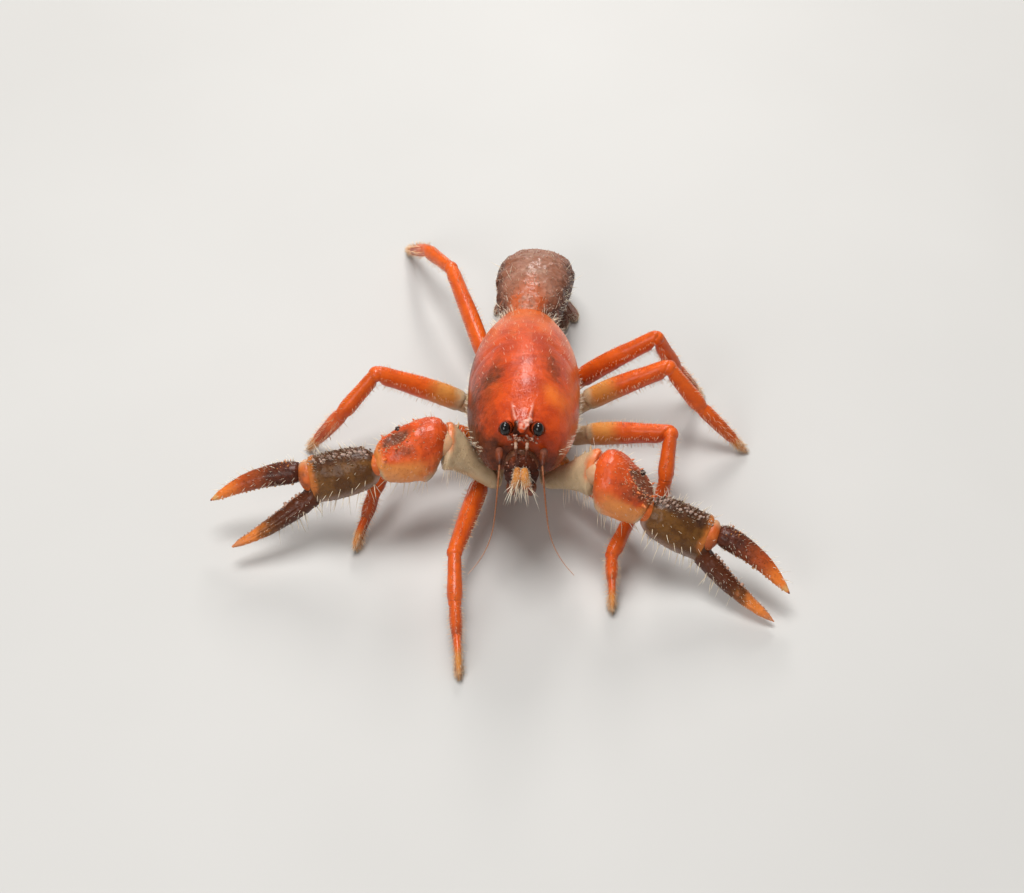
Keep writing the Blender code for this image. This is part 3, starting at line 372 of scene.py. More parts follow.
class Grid:
    """A tube's surface: rings of points along it, with the fraction along and the angle round it."""

    def __init__(self, points, along):
        self.points = points
        self.along = np.repeat(np.asarray(along, float)[:, None], points.shape[1], 1)
        self.angle = np.repeat(ring_angles(points.shape[1])[None, :], points.shape[0], 0)
        self.paint = {}

    def ways(self):
        """Outward and lengthwise ways, and the share of area, of each point."""
        p = self.points
        lengthwise = np.gradient(p, axis=0)
        across = np.cross(lengthwise, np.roll(p, -1, 1) - np.roll(p, 1, 1))
        out = unit(across)
        flip = (out * (p - p.mean(1, keepdims=True))).sum() < 0
        return (-out if flip else out), unit(lengthwise), np.linalg.norm(across, axis=-1)

    def push(self, amount):
        self.points = self.points + self.ways()[0] * np.asarray(amount)[..., None]

    def rough(self, size, seed):
        return rough(self.points, size, seed)

    def up_share(self):
        """1 on the upper edge, -1 on the lower edge."""
        return np.sin(self.angle)

    def skin(self):
        """What hairs need to grow on this surface."""
        out, lengthwise, area = self.ways()
        rows, sides = self.along.shape
        spots = np.stack((self.angle / (2 * np.pi), np.arange(rows)[:, None] / rows + 0 * self.angle), -1)
        return [x.reshape(rows * sides, -1) for x in (self.points, out, lengthwise, area, spots)]

    def close(self, start=0.25, end=0.25, start_way=None, end_way=None):
        """Closes the tube with domes that stand out from its ends by the given heights."""
        p = self.points
        before, after = [], []
        for ring, away, height, rings in (
            (p[0], unit(p[0].mean(0) - p[1].mean(0)) if start_way is None else start_way, start, before),
            (p[-1], unit(p[-1].mean(0) - p[-2].mean(0)) if end_way is None else end_way, end, after),
        ):
            centre = ring.mean(0)
            for a in math.pi / 2 * np.arange(1, DOME_STEPS + 1) / DOME_STEPS:
                share = max(math.cos(a), 0.02)
                rings.append(centre + (ring - centre) * share + away * height * math.sin(a))
        self.points = np.concatenate((np.array(before[::-1]), p, np.array(after)))
        self.along, self.angle = extended(self.along), extended(self.angle)
        return self


def stretch(start, end, rows, up, planes=(None, None), gaps=(0.0, 0.0), sides=LIMB_SIDES, bow=0.0,
            places=None):
    """An oval tube along a stretch that may bow upwards, skewed near each end onto that end's plane."""
    length = np.linalg.norm(end - start)
    along = (end - start) / length
    side, up = axes(along, up)
    steps = max(12, int(length * (rows[-1][0] - rows[0][0]) / STEP))
    t = np.linspace(rows[0][0], rows[-1][0], steps) if places is None else np.asarray(places, float)
    sizes = curve(rows, t)
    distance = gaps[0] + t * (length - sum(gaps))
    middle = start + along * distance[:, None]
    arch = up * (bow * np.sin(np.pi * distance / length))[:, None]
    ring = ovals(middle + arch, sizes, side, up, sides)
    for normal, reach in zip(planes, (distance - gaps[0], length - gaps[1] - distance)):
        if normal is not None:
            dot = along @ normal
            lean = math.sqrt(max(0.0, 1 - dot**2)) / abs(dot)
            fade = np.clip(1 - reach / (SKEW_REACH + SKEW_LEAN * lean * sizes.max(1)), 0, 1)
            ring = ring - along * (fade[:, None] * ((ring - middle[:, None]) @ normal) / dot)[..., None]
    return Grid(ring, t)


def loft(rings, labels):
    """A smooth tube through rings, with a label for the fraction along at each."""
    centres = rings.mean(1)
    keys = np.concatenate(((0,), np.cumsum(np.linalg.norm(np.diff(centres, axis=0), axis=1))))
    places = np.linspace(0, keys[-1], int(keys[-1] / STEP))
    points = curve(np.column_stack((keys, rings.reshape(len(rings), -1))), places)
    return Grid(points.reshape(len(places), -1, 3), np.interp(places, keys, labels))


def bent_tube(centres, sizes, up, sides=LIMB_SIDES, fractions=None):
    """An oval tube round a bent centre line."""
    side, rise = axes(unit(np.gradient(centres, axis=0)), up)
    ring = ovals(centres, sizes, side[:, None], rise[:, None], sides)
    return Grid(ring, np.linspace(0, 1, len(centres)) if fractions is None else fractions)


def body_tube(stations, side=1, up=(0, 0, 1), sides=LIMB_SIDES, steps=60):
    """A tube in the body frame through stations, on the left for side 1 and mirrored for side -1."""
    t = np.linspace(0, len(stations) - 1, steps)
    table = curve([(i, *station) for i, station in enumerate(stations)], t)
    centres = from_body(table[:, :3], side)
    up = BODY_TURN @ np.asarray(up, float)
    return bent_tube(centres, np.maximum(table[:, 3:], 0.05), up, sides, t / t[-1])


def sphere_grid(centre, radii, sides=64, rings=40, turn=BODY_TURN):
    """A ball in the body frame with its poles on the Y axis."""
    a = ring_angles(sides)
    b = np.linspace(0.03, np.pi - 0.03, rings)
    shape = np.stack((np.outer(np.sin(b), np.cos(a)), np.outer(-np.cos(b), np.ones(sides)),
                      np.outer(np.sin(b), np.sin(a))), -1)
    return Grid(centre + (shape * radii) @ turn.T, np.linspace(0, 1, rings))


def new_mesh(name, points, faces):
    mesh = bpy.data.meshes.new(name)
    mesh.from_pydata(points.tolist(), [], faces)
    return mesh


def add_object(name, data):
    thing = bpy.data.objects.new(name, data)
    bpy.context.scene.collection.objects.link(thing)
    return thing


def place(name, mesh, look, paint, slot=None, node=None):
    """Adds a painted piece that rides on the root, and may stand for nodes. The slot is not used."""
    mesh.materials.clear()
    mesh.materials.append(LOOKS[look])
    for key, values in paint.items():
        values = np.clip(np.broadcast_to(values, (len(mesh.vertices),)), 0, 1).astype(np.float32)
        mesh.attributes.new(key, "FLOAT", "POINT").data.foreach_set("value", values)
    mesh.shade_smooth()
    thing = add_object(name, mesh)
    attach(thing, "root")
    if node:
        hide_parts(*([node] if isinstance(node, str) else node))
    return thing


class Piece:
    """Collects grids and small forms into one mesh with its paint attributes."""

    def __init__(self, *grids):
        self.points, self.faces, self.paint = [], [], {k: [] for k in PAINTS}
        self.count = 0
        for grid in grids:
            self.grid(grid)

    def grid(self, grid):
        """Adds a tube, turned so that its faces look outward, with a face over each end."""
        p = grid.points
        rows, sides = p.shape[:2]
        i, k = (x.ravel() for x in np.meshgrid(np.arange(rows - 1), np.arange(sides), indexing="ij"))
        n = (k + 1) % sides
        faces = np.stack((i * sides + k, i * sides + n, (i + 1) * sides + n, (i + 1) * sides + k), 1)
        looks = np.cross(np.roll(p, -1, 1)[:-1] - p[:-1], p[1:] - p[:-1])
        ends = [np.arange(sides)[::-1], np.arange((rows - 1) * sides, rows * sides)]
        if (looks * (p[:-1] - p[:-1].mean(1, keepdims=True))).sum() < 0:
            faces, ends = faces[:, ::-1], [end[::-1] for end in ends]
        self.faces += (faces + self.count).tolist() + [(end + self.count).tolist() for end in ends]
        self.points.append(p.reshape(-1, 3))
        self.count += rows * sides
        for key in PAINTS:
            self.paint[key].append(np.broadcast_to(grid.paint.get(key, 0.0), grid.along.shape).ravel())

    def cone(self, root, out, radius, length, paint, sides=9, blunt=0.35, lean=(0, 0, 0)):
        """A small rounded spine, tubercle or tooth."""
        out = unit(np.asarray(out, float))
        side = unit(np.cross(out, (0.31, 0.52, 0.79)))
        a = ring_angles(sides)
        ring = side * np.cos(a)[:, None] + np.cross(out, side) * np.sin(a)[:, None]
        rings = []
        for height, share, blunt_share in CONE_LEVELS:
            reach = out * height * (length if height > 0 else radius)
            reach = reach + np.asarray(lean) * (max(height, 0) ** 2 * length)
            rings.append(root + reach + ring * (radius * (share + blunt_share * blunt)))
        grid = Grid(np.array(rings), np.linspace(0, 1, len(rings)))
        grid.paint = paint
        self.grid(grid)

    def stud(self, limb, place_at, turn, radius, length, paint, sink=0.0, lean=0.0, **shape):
        """A small form on a limb, sunk into it and leaning along it."""
        foot, out = limb.spot(place_at, turn)
        self.cone(foot - out * sink, out, radius, length, paint, lean=limb.along * lean, **shape)

    def tubercles(self, grid, weight, count, low, high, pales, paint):
        """Small rounded tubercles scattered over a grid where the weight is high."""
        points, out, _, area, _ = grid.skin()
        share = np.broadcast_to(np.clip(weight, 0, None), grid.along.shape).ravel() * area.ravel()
        chance = np.random.default_rng(count)
        for i in chance.choice(len(share), count, p=share / share.sum()):
            size = chance.uniform(low, high)
            tone = {**paint, "pale": chance.choice(pales)}
            self.cone(points[i] - out[i] * size * 0.3, out[i], size, size * 1.1, tone, sides=7, blunt=1.0)

    def build(self, name, look, slot=None, node=None):
        mesh = new_mesh(name, to_frame(np.concatenate(self.points)), self.faces)
        return place(name, mesh, look, {k: np.concatenate(v) for k, v in self.paint.items()}, slot, node)


class Coat:
    """Tapered hairs in one mesh, each a small patch of the map at its root's place on its skin's unwrap."""

    def __init__(self, name, look, skins):
        self.name, self.look = name, look
        self.cells = math.ceil(math.sqrt(skins))
        self.used = -1
        self.points, self.tones, self.spots = [], [], []
        self.chance = np.random.default_rng(len(name))

    def next_skin(self, grid, skin=None):
        """Takes the surface that the next hairs grow on, and the next cell of the map for it."""
        self.used += 1
        self.grid = grid
        self.skin = skin or grid.skin()

    def plant(self, pick, length, radius, lean=0.0, toward=(0, 0, 0), spread=0.2, bend=0.15):
        """Hairs at the picked places, leaning along the skin and toward a way, and bent further that way."""
        roots, out, lengthwise, _, spots = (x[pick] for x in self.skin)
        count = len(pick)
        drift = lengthwise * lean + np.asarray(toward, float)
        way = unit(out + drift + self.chance.normal(0, spread, (count, 3)))
        size = length * self.chance.uniform(0.55, 1.15, (count, 1))
        thick = radius * self.chance.uniform(0.75, 1.2, (count, 1))
        bow = (drift + self.chance.normal(0, 0.4, (count, 3))) * bend
        side = unit(np.cross(way, (0.37, 0.61, 0.70)))
        other = np.cross(way, side)
        rings = []
        for height, share in HAIR_LEVELS:
            centre = roots + (way * height + bow * height * abs(height)) * size
            for a in ring_angles(3):
                rings.append(centre + (side * math.cos(a) + other * math.sin(a)) * (thick * share))
        rings.append(roots + (way + bow) * size)
        points = np.stack(rings, 1)
        points[..., 2] = np.maximum(points[..., 2], 0.03)
        self.points.append(points)
        tone = np.repeat((0, 0.4, 0.75, 1.0), (3, 3, 3, 1))
        self.tones.append(np.clip(tone + self.chance.uniform(-0.3, 0.3, (count, 1)), 0, 1))
        cell = np.array((self.used % self.cells, self.used // self.cells))
        self.spots.append((cell + 0.02 + 0.95 * spots) / self.cells)

    def grow(self, weight, count, length, radius, **shape):
        """Hairs scattered over the skin where the weight is high."""
        share = self.skin[3].reshape(-1 if self.grid is None else self.grid.along.shape)
        share = (np.clip(weight, 0, None) * share).ravel()
        self.plant(self.chance.choice(len(share), count, p=share / share.sum()), length, radius, **shape)

    def comb(self, turn, start, end, count, length, radius, **shape):
        """A row of hairs along the grid at a turn in degrees from its outer side."""
        rows, sides = self.grid.along.shape
        at = np.linspace(start, end, count) + self.chance.uniform(-0.3, 0.3, count) * (end - start) / count
        i = np.clip(np.searchsorted(self.grid.along[:, 0], at), 0, rows - 1)
        k = np.round((turn + self.chance.normal(0, 6, count)) / 360 * sides).astype(int) % sides
        self.plant(i * sides + k, length, radius, **shape)

    def build(self, slot):
        points = np.concatenate(self.points)
        base = 10 * np.arange(len(points))[:, None, None]
        cells = [(j, k) for j in range(2) for k in range(3)]
        quads = [(3 * j + k, 3 * j + (k + 1) % 3, 3 * j + 3 + (k + 1) % 3, 3 * j + 3 + k) for j, k in cells]
        tips = [(6 + k, 6 + (k + 1) % 3, 9) for k in range(3)] + [(2, 1, 0)]
        faces = (np.array(quads) + base).reshape(-1, 4).tolist()
        faces += (np.array(tips) + base).reshape(-1, 3).tolist()
        mesh = new_mesh(self.name, to_frame(points.reshape(-1, 3)), faces)
        quad_map = [(x / 3, y / 3) for j, k in cells
                    for x, y in ((k, j), (k + 1, j), (k + 1, j + 1), (k, j + 1))]
        tip_map = [(x / 3, y) for k in range(3) for x, y in ((k, 2 / 3), (k + 1, 2 / 3), (k + 0.5, 1))]
        tip_map += [(0.4, 0.0), (0.3, 0.1), (0.2, 0.0)]
        spots = np.concatenate(self.spots)[:, None]
        corners = [(spots + HAIR_PATCH * np.array(part)).reshape(-1, 2) for part in (quad_map, tip_map)]
        layer = mesh.uv_layers.new(name="OFBake")
        layer.data.foreach_set("uv", np.concatenate(corners).astype(np.float32).ravel())
        return place(self.name, mesh, self.look, {"pale": np.concatenate(self.tones).ravel()}, slot)


class Nodes:
    """Short calls for a material's node tree."""

    def __init__(self, name):
        self.material = bpy.data.materials.new(name)
        self.material.use_nodes = True
        self.tree = self.material.node_tree
        self.shader = self.tree.nodes["Principled BSDF"]
        self.coordinates = self.add("TexCoord").outputs["Object"]

    def put(self, node, inputs):
        """Sets a node's inputs, or links them to what other nodes give."""
        for key, value in inputs.items():
            socket = node.inputs[key if isinstance(key, int) else key.replace("_", " ")]
            if hasattr(value, "is_linked"):
                self.tree.links.new(value, socket)
            elif isinstance(value, tuple) and len(value) == 3 and socket.type == "RGBA":
                socket.default_value = (*value, 1.0)
            else:
                socket.default_value = value

    def add(self, kind, settings=None, inputs=None):
        node = self.tree.nodes.new("ShaderNode" + kind)
        for key, value in (settings or {}).items():
            setattr(node, key, value)
        self.put(node, inputs or {})
        return node

    def noise(self, size, detail=4.0, roughness=0.55, distortion=0.0):
        return self.add("TexNoise", None, {
            "Vector": self.coordinates, "Scale": 1 / (size * MM), "Detail": detail, "Roughness": roughness,
            "Distortion": distortion,
        }).outputs["Fac"]

    def cells(self, size, randomness=1.0):
        return self.add("TexVoronoi", None, {"Vector": self.coordinates, "Scale": 1 / (size * MM),
                                             "Randomness": randomness}).outputs["Distance"]

    def attribute(self, name):
        return self.add("Attribute", {"attribute_name": name}).outputs["Fac"]

    def math(self, kind, a, b, clamp=False):
        return self.add("Math", {"operation": kind, "use_clamp": clamp}, {0: a, 1: b}).outputs[0]

    def span(self, value, low, high, to_low=0.0, to_high=1.0):
        return self.add("MapRange", {"interpolation_type": "SMOOTHSTEP"}, {
            "Value": value, "From Min": low, "From Max": high, "To Min": to_low, "To Max": to_high,
        }).outputs["Result"]

    def mix(self, share, a, b):
        return self.add("Mix", {"data_type": "RGBA"}, {"Factor": share, "A": a, "B": b}).outputs["Result"]

    def mask(self, name, noise, spread=0.5):
        """An attribute whose edge is broken up by noise."""
        wobble = self.math("MULTIPLY", self.math("SUBTRACT", noise, 0.5), spread)
        return self.span(self.math("ADD", self.attribute(name), wobble), 0.08, 0.92)

    def bump(self, height, depth, strength=1.0, before=None):
        inputs = {"Height": height, "Distance": depth * MM, "Strength": strength}
        if before is not None:
            inputs["Normal"] = before
        return self.add("Bump", None, inputs).outputs["Normal"]

    def finish(self, colour, roughness, normal=None, **constants):
        self.put(self.shader, {"Base Color": colour, "Roughness": roughness, **constants})
        if normal is not None:
            self.put(self.shader, {"Normal": normal})
        return self.material


def dim(colour, share=0.5):
    return tuple(share * c for c in colour)


def shell_material(name, main, second, dark, pale, warm, deep=None, wet=0.3, rough_at=0.3, pits=0.05,
                   flesh=0.08, dots=0.6):
    """Wet shell: two main tones in clouds, and other tones where the paint attributes say."""
    n = Nodes(name)
    clouds = n.noise(1.6, 5.0, 0.6, 0.4)
    patches = n.noise(0.5, 6.0, 0.64, 0.2)
    fine = n.noise(0.11, 4.0, 0.6)
    pores = n.cells(0.19)
    colour = n.mix(n.span(clouds, 0.38, 0.64), main, second)
    colour = n.mix(n.span(patches, 0.56, 0.8, 0.0, 0.45), colour, dim(main))
    colour = n.mix(n.mask("warm", patches, 0.35), colour, warm)
    if deep:
        colour = n.mix(n.mask("deep", patches, 0.4), colour, deep)
    # The dark tone: the shell's darker colours, and painted shade where the dark paint is put for it
    dark_and_shade = n.mix(n.span(patches, 0.36, 0.66), dark, dim(dark))
    dark_share = n.mask("dark", patches, 0.55)
    colour = n.mix(dark_share, colour, dark_and_shade)
    # The pale tone: pale colours, and painted highlights where the pale paint is put for them
    clear = n.mix(n.span(clouds, 0.35, 0.7), pale, dim(pale, 0.8))
    colour = n.mix(n.mask("pale", clouds, 0.3), colour, clear)
    shown = n.math("MULTIPLY", n.span(n.cells(0.4), 0.1, 0.03), n.span(clouds, 0.45, 0.62))
    colour = n.mix(n.math("MULTIPLY", shown, dots), colour, (0.62, 0.38, 0.26))
    colour = n.mix(n.span(pores, 0.16, 0.05, 0.0, 0.25), colour, dim(main, 0.35))
    roughness = n.math("ADD", rough_at - 0.1, n.math("MULTIPLY", fine, 0.2))
    roughness = n.math("ADD", roughness, n.math("MULTIPLY", dark_share, 0.12), clamp=True)
    normal = n.bump(n.span(pores, 0.02, 0.3), pits)
    normal = n.bump(patches, 0.09, 0.7, normal)
    normal = n.bump(fine, 0.025, 0.8, normal)
    return n.finish(
        colour, roughness, normal, Coat_Weight=wet, Coat_Roughness=0.18, Specular_IOR_Level=0.2,
        Subsurface_Weight=flesh, Subsurface_Radius=(0.9, 0.35, 0.15), Subsurface_Scale=0.5 * MM,
    )


def eye_material():
    n = Nodes("eye")
    facets = n.cells(0.045, 0.25)
    colour = n.mix(n.span(n.noise(0.3), 0.4, 0.7), (0.003, 0.002, 0.002), (0.010, 0.004, 0.003))
    roughness = n.math("ADD", 0.11, n.math("MULTIPLY", n.noise(0.2), 0.08))
    return n.finish(colour, roughness, n.bump(facets, 0.004, 0.3), Specular_IOR_Level=0.5)


def bristle_material(name, root, tip):
    n = Nodes(name)
    colour = n.mix(n.attribute("pale"), root, tip)
    colour = n.mix(n.span(n.noise(0.6), 0.45, 0.75, 0.0, 0.3), colour, dim(root, 0.6))
    roughness = n.math("ADD", 0.3, n.math("MULTIPLY", n.noise(0.3), 0.2))
    return n.finish(colour, roughness, Subsurface_Weight=0.0, Coat_Weight=0.1)


def make_materials():
    """Each shell's tones: main, second, dark, pale, warm and deep."""
    cream, amber = (0.60, 0.44, 0.26), (0.68, 0.27, 0.06)
    for name, tones, finish in (
        ("carapace", ((0.60, 0.068, 0.007), (0.42, 0.040, 0.006), (0.16, 0.032, 0.007), (0.74, 0.38, 0.29),
                      (0.76, 0.165, 0.022), (0.060, 0.011, 0.002)), {"wet": 0.15, "pits": 0.04}),
        ("leg", ((0.76, 0.118, 0.010), (0.62, 0.084, 0.009), (0.26, 0.045, 0.010), cream, amber,
                 (0.33, 0.060, 0.018)), {}),
        ("claw", ((0.72, 0.098, 0.016), (0.54, 0.066, 0.012), (0.25, 0.068, 0.030), cream,
                  (0.72, 0.24, 0.055), (0.03, 0.008, 0.004)), {"pits": 0.06}),
        ("chela", ((0.165, 0.066, 0.013), (0.095, 0.034, 0.007), (0.095, 0.034, 0.013), (0.46, 0.32, 0.26),
                   (0.70, 0.20, 0.036), (0.085, 0.020, 0.006)), {"wet": 0.18, "pits": 0.09, "dots": 0.3}),
        ("finger", ((0.46, 0.075, 0.012), (0.32, 0.048, 0.010), (0.10, 0.019, 0.005), (0.80, 0.50, 0.19),
                    (0.80, 0.20, 0.030), (0.20, 0.046, 0.013)), {"wet": 0.18, "pits": 0.08, "dots": 0.4}),
        ("abdomen", ((0.34, 0.150, 0.095), (0.25, 0.090, 0.048), (0.12, 0.036, 0.015), (0.52, 0.34, 0.25),
                     (0.50, 0.095, 0.020), (0.20, 0.050, 0.020)),
         {"wet": 0.25, "rough_at": 0.42, "pits": 0.06, "dots": 0.9}),
        ("face", ((0.22, 0.042, 0.010), (0.12, 0.022, 0.006), (0.045, 0.009, 0.002), (0.66, 0.38, 0.28),
                  (0.74, 0.33, 0.085), (0.05, 0.009, 0.002)), {"wet": 0.06, "rough_at": 0.5}),
        ("skin", ((0.64, 0.155, 0.030), (0.56, 0.11, 0.018), (0.2, 0.07, 0.03), cream, amber),
         {"wet": 0.2, "rough_at": 0.4, "pits": 0.02, "flesh": 0.25, "dots": 0.2}),
        ("feeler", ((0.34, 0.12, 0.045), (0.24, 0.075, 0.028), (0.12, 0.03, 0.012), (0.66, 0.46, 0.34),
                    amber),
         {"wet": 0.1, "rough_at": 0.4, "pits": 0.02, "dots": 0.2}),
    ):
        LOOKS[name] = shell_material(name, *tones, **finish)
    LOOKS["eye"] = eye_material()
    LOOKS["bristle"] = bristle_material("bristle", (0.84, 0.66, 0.44), (0.96, 0.90, 0.76))
    LOOKS["fuzz"] = bristle_material("fuzz", (0.78, 0.36, 0.13), (0.95, 0.80, 0.58))


def carapace_grid(steps=240, sides=220):
    """The carapace as rings from its face to its rear, each over the back and closed below."""
    y = np.repeat(np.linspace(FRONT_Y, REAR_Y, steps)[:, None], sides, 1)
    u = np.repeat(np.linspace(-1, 1, sides)[None, :], steps, 0)
    half, top, bottom = (x.reshape(y.shape) for x in curve(CARAPACE, y.ravel()).T)
    middle = bottom + (top - bottom) * CARAPACE_WAIST
    a = np.radians(CARAPACE_EDGE) * u
    over = middle + (top - middle) * np.cos(a)
    under = middle + (middle - bottom) * np.cos(a) / abs(math.cos(math.radians(CARAPACE_EDGE)))
    shell = np.stack((half * np.sin(a), y, np.where(np.cos(a) < 0, under, over)), -1)
    groove = GROOVE_Y - GROOVE_SWEEP * np.abs(u) ** 1.4
    dip = GROOVE_DEPTH * hill(y, groove, GROOVE_WIDTH) * smooth(0.0, 0.35, np.abs(u))
    centre = np.stack((np.zeros_like(y), y, np.full_like(y, CARAPACE_HEART)), -1)
    shell = shell + unit(centre - shell) * dip[..., None]
    share = np.linspace(0, 1, FLOOR_SIDES + 2)[1:-1]
    low = shell[:, -1:] * (1 - share[None, :, None]) + shell[:, :1] * share[None, :, None]
    low[..., 2] += FLOOR_RISE * np.sin(np.pi * share)[None, :]
    rings = np.concatenate((shell, low), 1)
    heart = np.array((0, FRONT_Y, FACE_HEART))
    shares = np.arange(1, FACE_RINGS + 1) / (FACE_RINGS + 1)
    front = []
    for s in shares[::-1]:
        front.append(heart + (rings[0] - heart) * (1 - s) - np.array((0, FACE_BULGE, 0)) * s**0.6)
    rings = np.concatenate((np.array(front), rings))
    return Grid(from_body(rings), np.linspace(0, 1, len(rings)))


def read(mesh, key):
    values = np.empty(len(mesh.vertices) * 3, np.float32)
    mesh.vertices.foreach_get(key, values)
    return values.reshape(-1, 3).astype(float)


def remeshed(points, faces, size, smoothing):
    """The closed outer surface of overlapping forms, evenly meshed and smoothed."""
    mesh = new_mesh("work", points, faces)
    thing = add_object("work", mesh)
    modifier = thing.modifiers.new("remesh", "REMESH")
    modifier.mode = "VOXEL"
    modifier.voxel_size = size
    soft = thing.modifiers.new("smooth", "SMOOTH")
    soft.iterations = smoothing
    soft.factor = 0.5
    graph = bpy.context.evaluated_depsgraph_get()
    result = bpy.data.meshes.new_from_object(thing.evaluated_get(graph))
    bpy.data.objects.remove(thing, do_unlink=True)
    bpy.data.meshes.remove(mesh)
    return result


def settle(name, mesh, points, look, paint, slot, node):
    """Writes points in millimetres and paints into a remeshed mesh, and adds it."""
    mesh.vertices.foreach_set("co", to_frame(points).astype(np.float32).ravel())
    mesh.update()
    place(name, mesh, look, {k: paint.get(k, 0.0) for k in PAINTS}, slot, node)


def press_sockets(local):
    """Presses the eye sockets into points of the body frame; returns them and how far inside each is."""
    sockets = np.zeros(len(local))
    for s in (-1, 1):
        offset = local - EYE_PLACE * (s, 1, 1)
        distance = np.linalg.norm(offset, axis=1)
        inside = smooth(SOCKET_RADIUS, SOCKET_RADIUS * 0.8, distance)
        local = local + unit(offset) * (np.clip(SOCKET_RADIUS - distance, 0, 1) * inside)[:, None]
        local[:, 2] += 0.07 * hill(distance, SOCKET_RADIUS * 1.12, 0.16)
        sockets += smooth(SOCKET_RADIUS * 1.25, SOCKET_RADIUS * 0.9, distance)
    return local, sockets


def make_carapace(coat):
    """Head and thorax shell in one, with the rostrum, its ridges, the eye sockets and the cervical groove."""
    raw = Piece(carapace_grid(), body_tube(ROSTRUM).close(0.1, 0.12))
    for s in (-1, 1):
        raw.grid(body_tube(RIDGE, s, sides=24).close(0.1, 0.1))
    mesh = remeshed(np.concatenate(raw.points), raw.faces, REMESH, 16)
    normals = read(mesh, "normal")
    local, sockets = press_sockets(into_body(read(mesh, "co")))
    x, y, z = local.T
    half, top, bottom = curve(CARAPACE, y).T
    height, side = (z - bottom) / (top - bottom), np.abs(x) / half
    noise = rough(local, 1.3, 5)
    streak = rough(local * (1.0, 0.3, 1.0), 0.9, 6)
    brow = smooth(1.4, 0.8, np.abs(x)) * smooth(-8.3, -9.2, y) * smooth(8.3, 8.8, z)
    # Painted highlight along the two ridges behind the rostrum
    ridge_x, ridge_y = np.array(RIDGE[:0:-1])[:, :2].T
    ridge_highlight = hill(np.abs(x), np.interp(y, ridge_y, ridge_x), 0.15)
    ridge_highlight = ridge_highlight * smooth(-6.3, -7.6, y) * smooth(8.5, 8.8, z)
    grains = smooth(-0.05, 0.5, value_noise(local, 0.24, 13))
    edge = smooth(0.45, 0.2, height)
    beads = np.clip(value_noise(local, 0.22, 12) - 0.1, 0, 1) * 0.16 * brow
    beads += np.clip(value_noise(local, 0.24, 14) - 0.45, 0, 1) * 0.12 * edge
    points = from_body(local)
    lumps = 0.03 * rough(points, 1.1, 3) + 0.012 * rough(points, 0.35, 9) + beads
    points = points + normals * lumps[:, None]
    # back is 1 on the lower flanks, where painted shade goes
    back = smooth(0.80, 0.30, height + 0.1 * noise)
    face = smooth(-7.2, -9.8, y + 0.25 * noise)
    # Painted shadow under the rostrum's tip: gap just below it, and tip_shadow at its front
    front = smooth(-9.2, -9.6, y) * smooth(7.5, 7.9, z)
    gap = smooth(0.75, 0.4, np.abs(x + 0.1)) * smooth(-9.3, -9.7, y)
    gap = gap * smooth(8.6, 8.3, z) * smooth(7.5, 7.9, z)
    tip_shadow = hill(x, -0.5, 0.26) * front
    dark = (
        # Painted shade on the lower flanks and the lower face, more on the animal's right than on its left
        0.55 * back * smooth(8, 3, y) * smooth(3.5, -1.0, x)
        + 0.45 * face * smooth(9.2, 5.6, z) * smooth(4, 1, x)
        # Patches beside the cervical groove: partly their brown colour, partly painted shade of the groove
        + 0.6 * hill(np.abs(x), 2.6, 1.1) * smooth(1.6, -2.2, y) * smooth(-4.6, -3.4, y)
        # More painted shade on the animal's right side, on the head and on the rear flank
        + 0.4 * smooth(-1.0, -2.6, x) * smooth(-1.5, -5.0, y)
        + 0.4 * smooth(-3.0, -4.6, x) * smooth(6.5, 4.0, y)
        + 0.35 * streak * smooth(0.6, 1.4, np.abs(x)) + 0.15 * smooth(0.4, 0.1, height)
    )
    paint = {
        "dark": dark * (1 - np.clip(tip_shadow + gap, 0, 1)),
        "warm": 0.75 * hill(x, 2.5, 1.1) * hill(y, -5.3, 1.7) + 0.35 * hill(x, -2.4, 0.9) * hill(y, -4.8, 1.6)
        # Warmer, lighter margin and lower flank on the animal's left: partly the translucent margin, partly
        # painted light on that side
        + 0.3 * streak + 0.35 * smooth(3.0, 4.4, x) + 0.5 * smooth(0.0, 7.0, y) * smooth(0.3, 0.75, height)
        + 0.4 * smooth(0.62, 0.35, height) * smooth(-2, 4, x),
        "pale": 0.75 * brow * grains * smooth(-1.0, 0.3, x) * (1 - tip_shadow) + 0.5 * ridge_highlight * (1 - tip_shadow)
        + 0.22 * edge * grains * smooth(-9.2, -7.6, y) + 0.3 * smooth(9.4, 10.3, y) * smooth(0.8, 0.3, height)
        + 0.18 * edge * smooth(-9, -7, y),
        # deep: darker towards the bottom of the face, painted shade in the eye sockets, and the painted
        # shadow under the rostrum's tip
        "deep": 0.8 * face * smooth(7.8, 4.4, z) + 0.6 * sockets * (1 - brow) + 0.9 * gap + tip_shadow,
    }
    settle("carapace", mesh, points, "carapace", paint, "shell_orange", ["carapace_head", "carapace_thorax"])
    spots = np.stack((np.arctan2(x, z - CARAPACE_HEART) / (2 * np.pi) + 0.5,
                      (y - FRONT_Y + 1.2) / (REAR_Y - FRONT_Y + 1.4)), 1)
    back_way = np.broadcast_to(BODY_TURN @ (0, 1.0, 0), points.shape)
    coat.next_skin(None, [points, normals, back_way, np.ones((len(points), 1)), np.clip(spots, 0, 1)])
    margin = smooth(0.6, 0.35, height) * smooth(10.2, 9.6, y) * smooth(-9.6, -8.8, y)
    coat.grow(margin * hill(height, 0.42, 0.07), 220, 0.6, 0.022, lean=0.7)
    coat.grow(margin, 220, 0.28, 0.014, lean=0.5)
    coat.grow(smooth(0.5, 0.9, height) * smooth(-6, 2, y), 150, 0.3, 0.018, lean=0.8)
    coat.grow(smooth(8.0, 9.8, y) * smooth(0.25, 0.7, side), 200, 0.8, 0.024, lean=0.3)


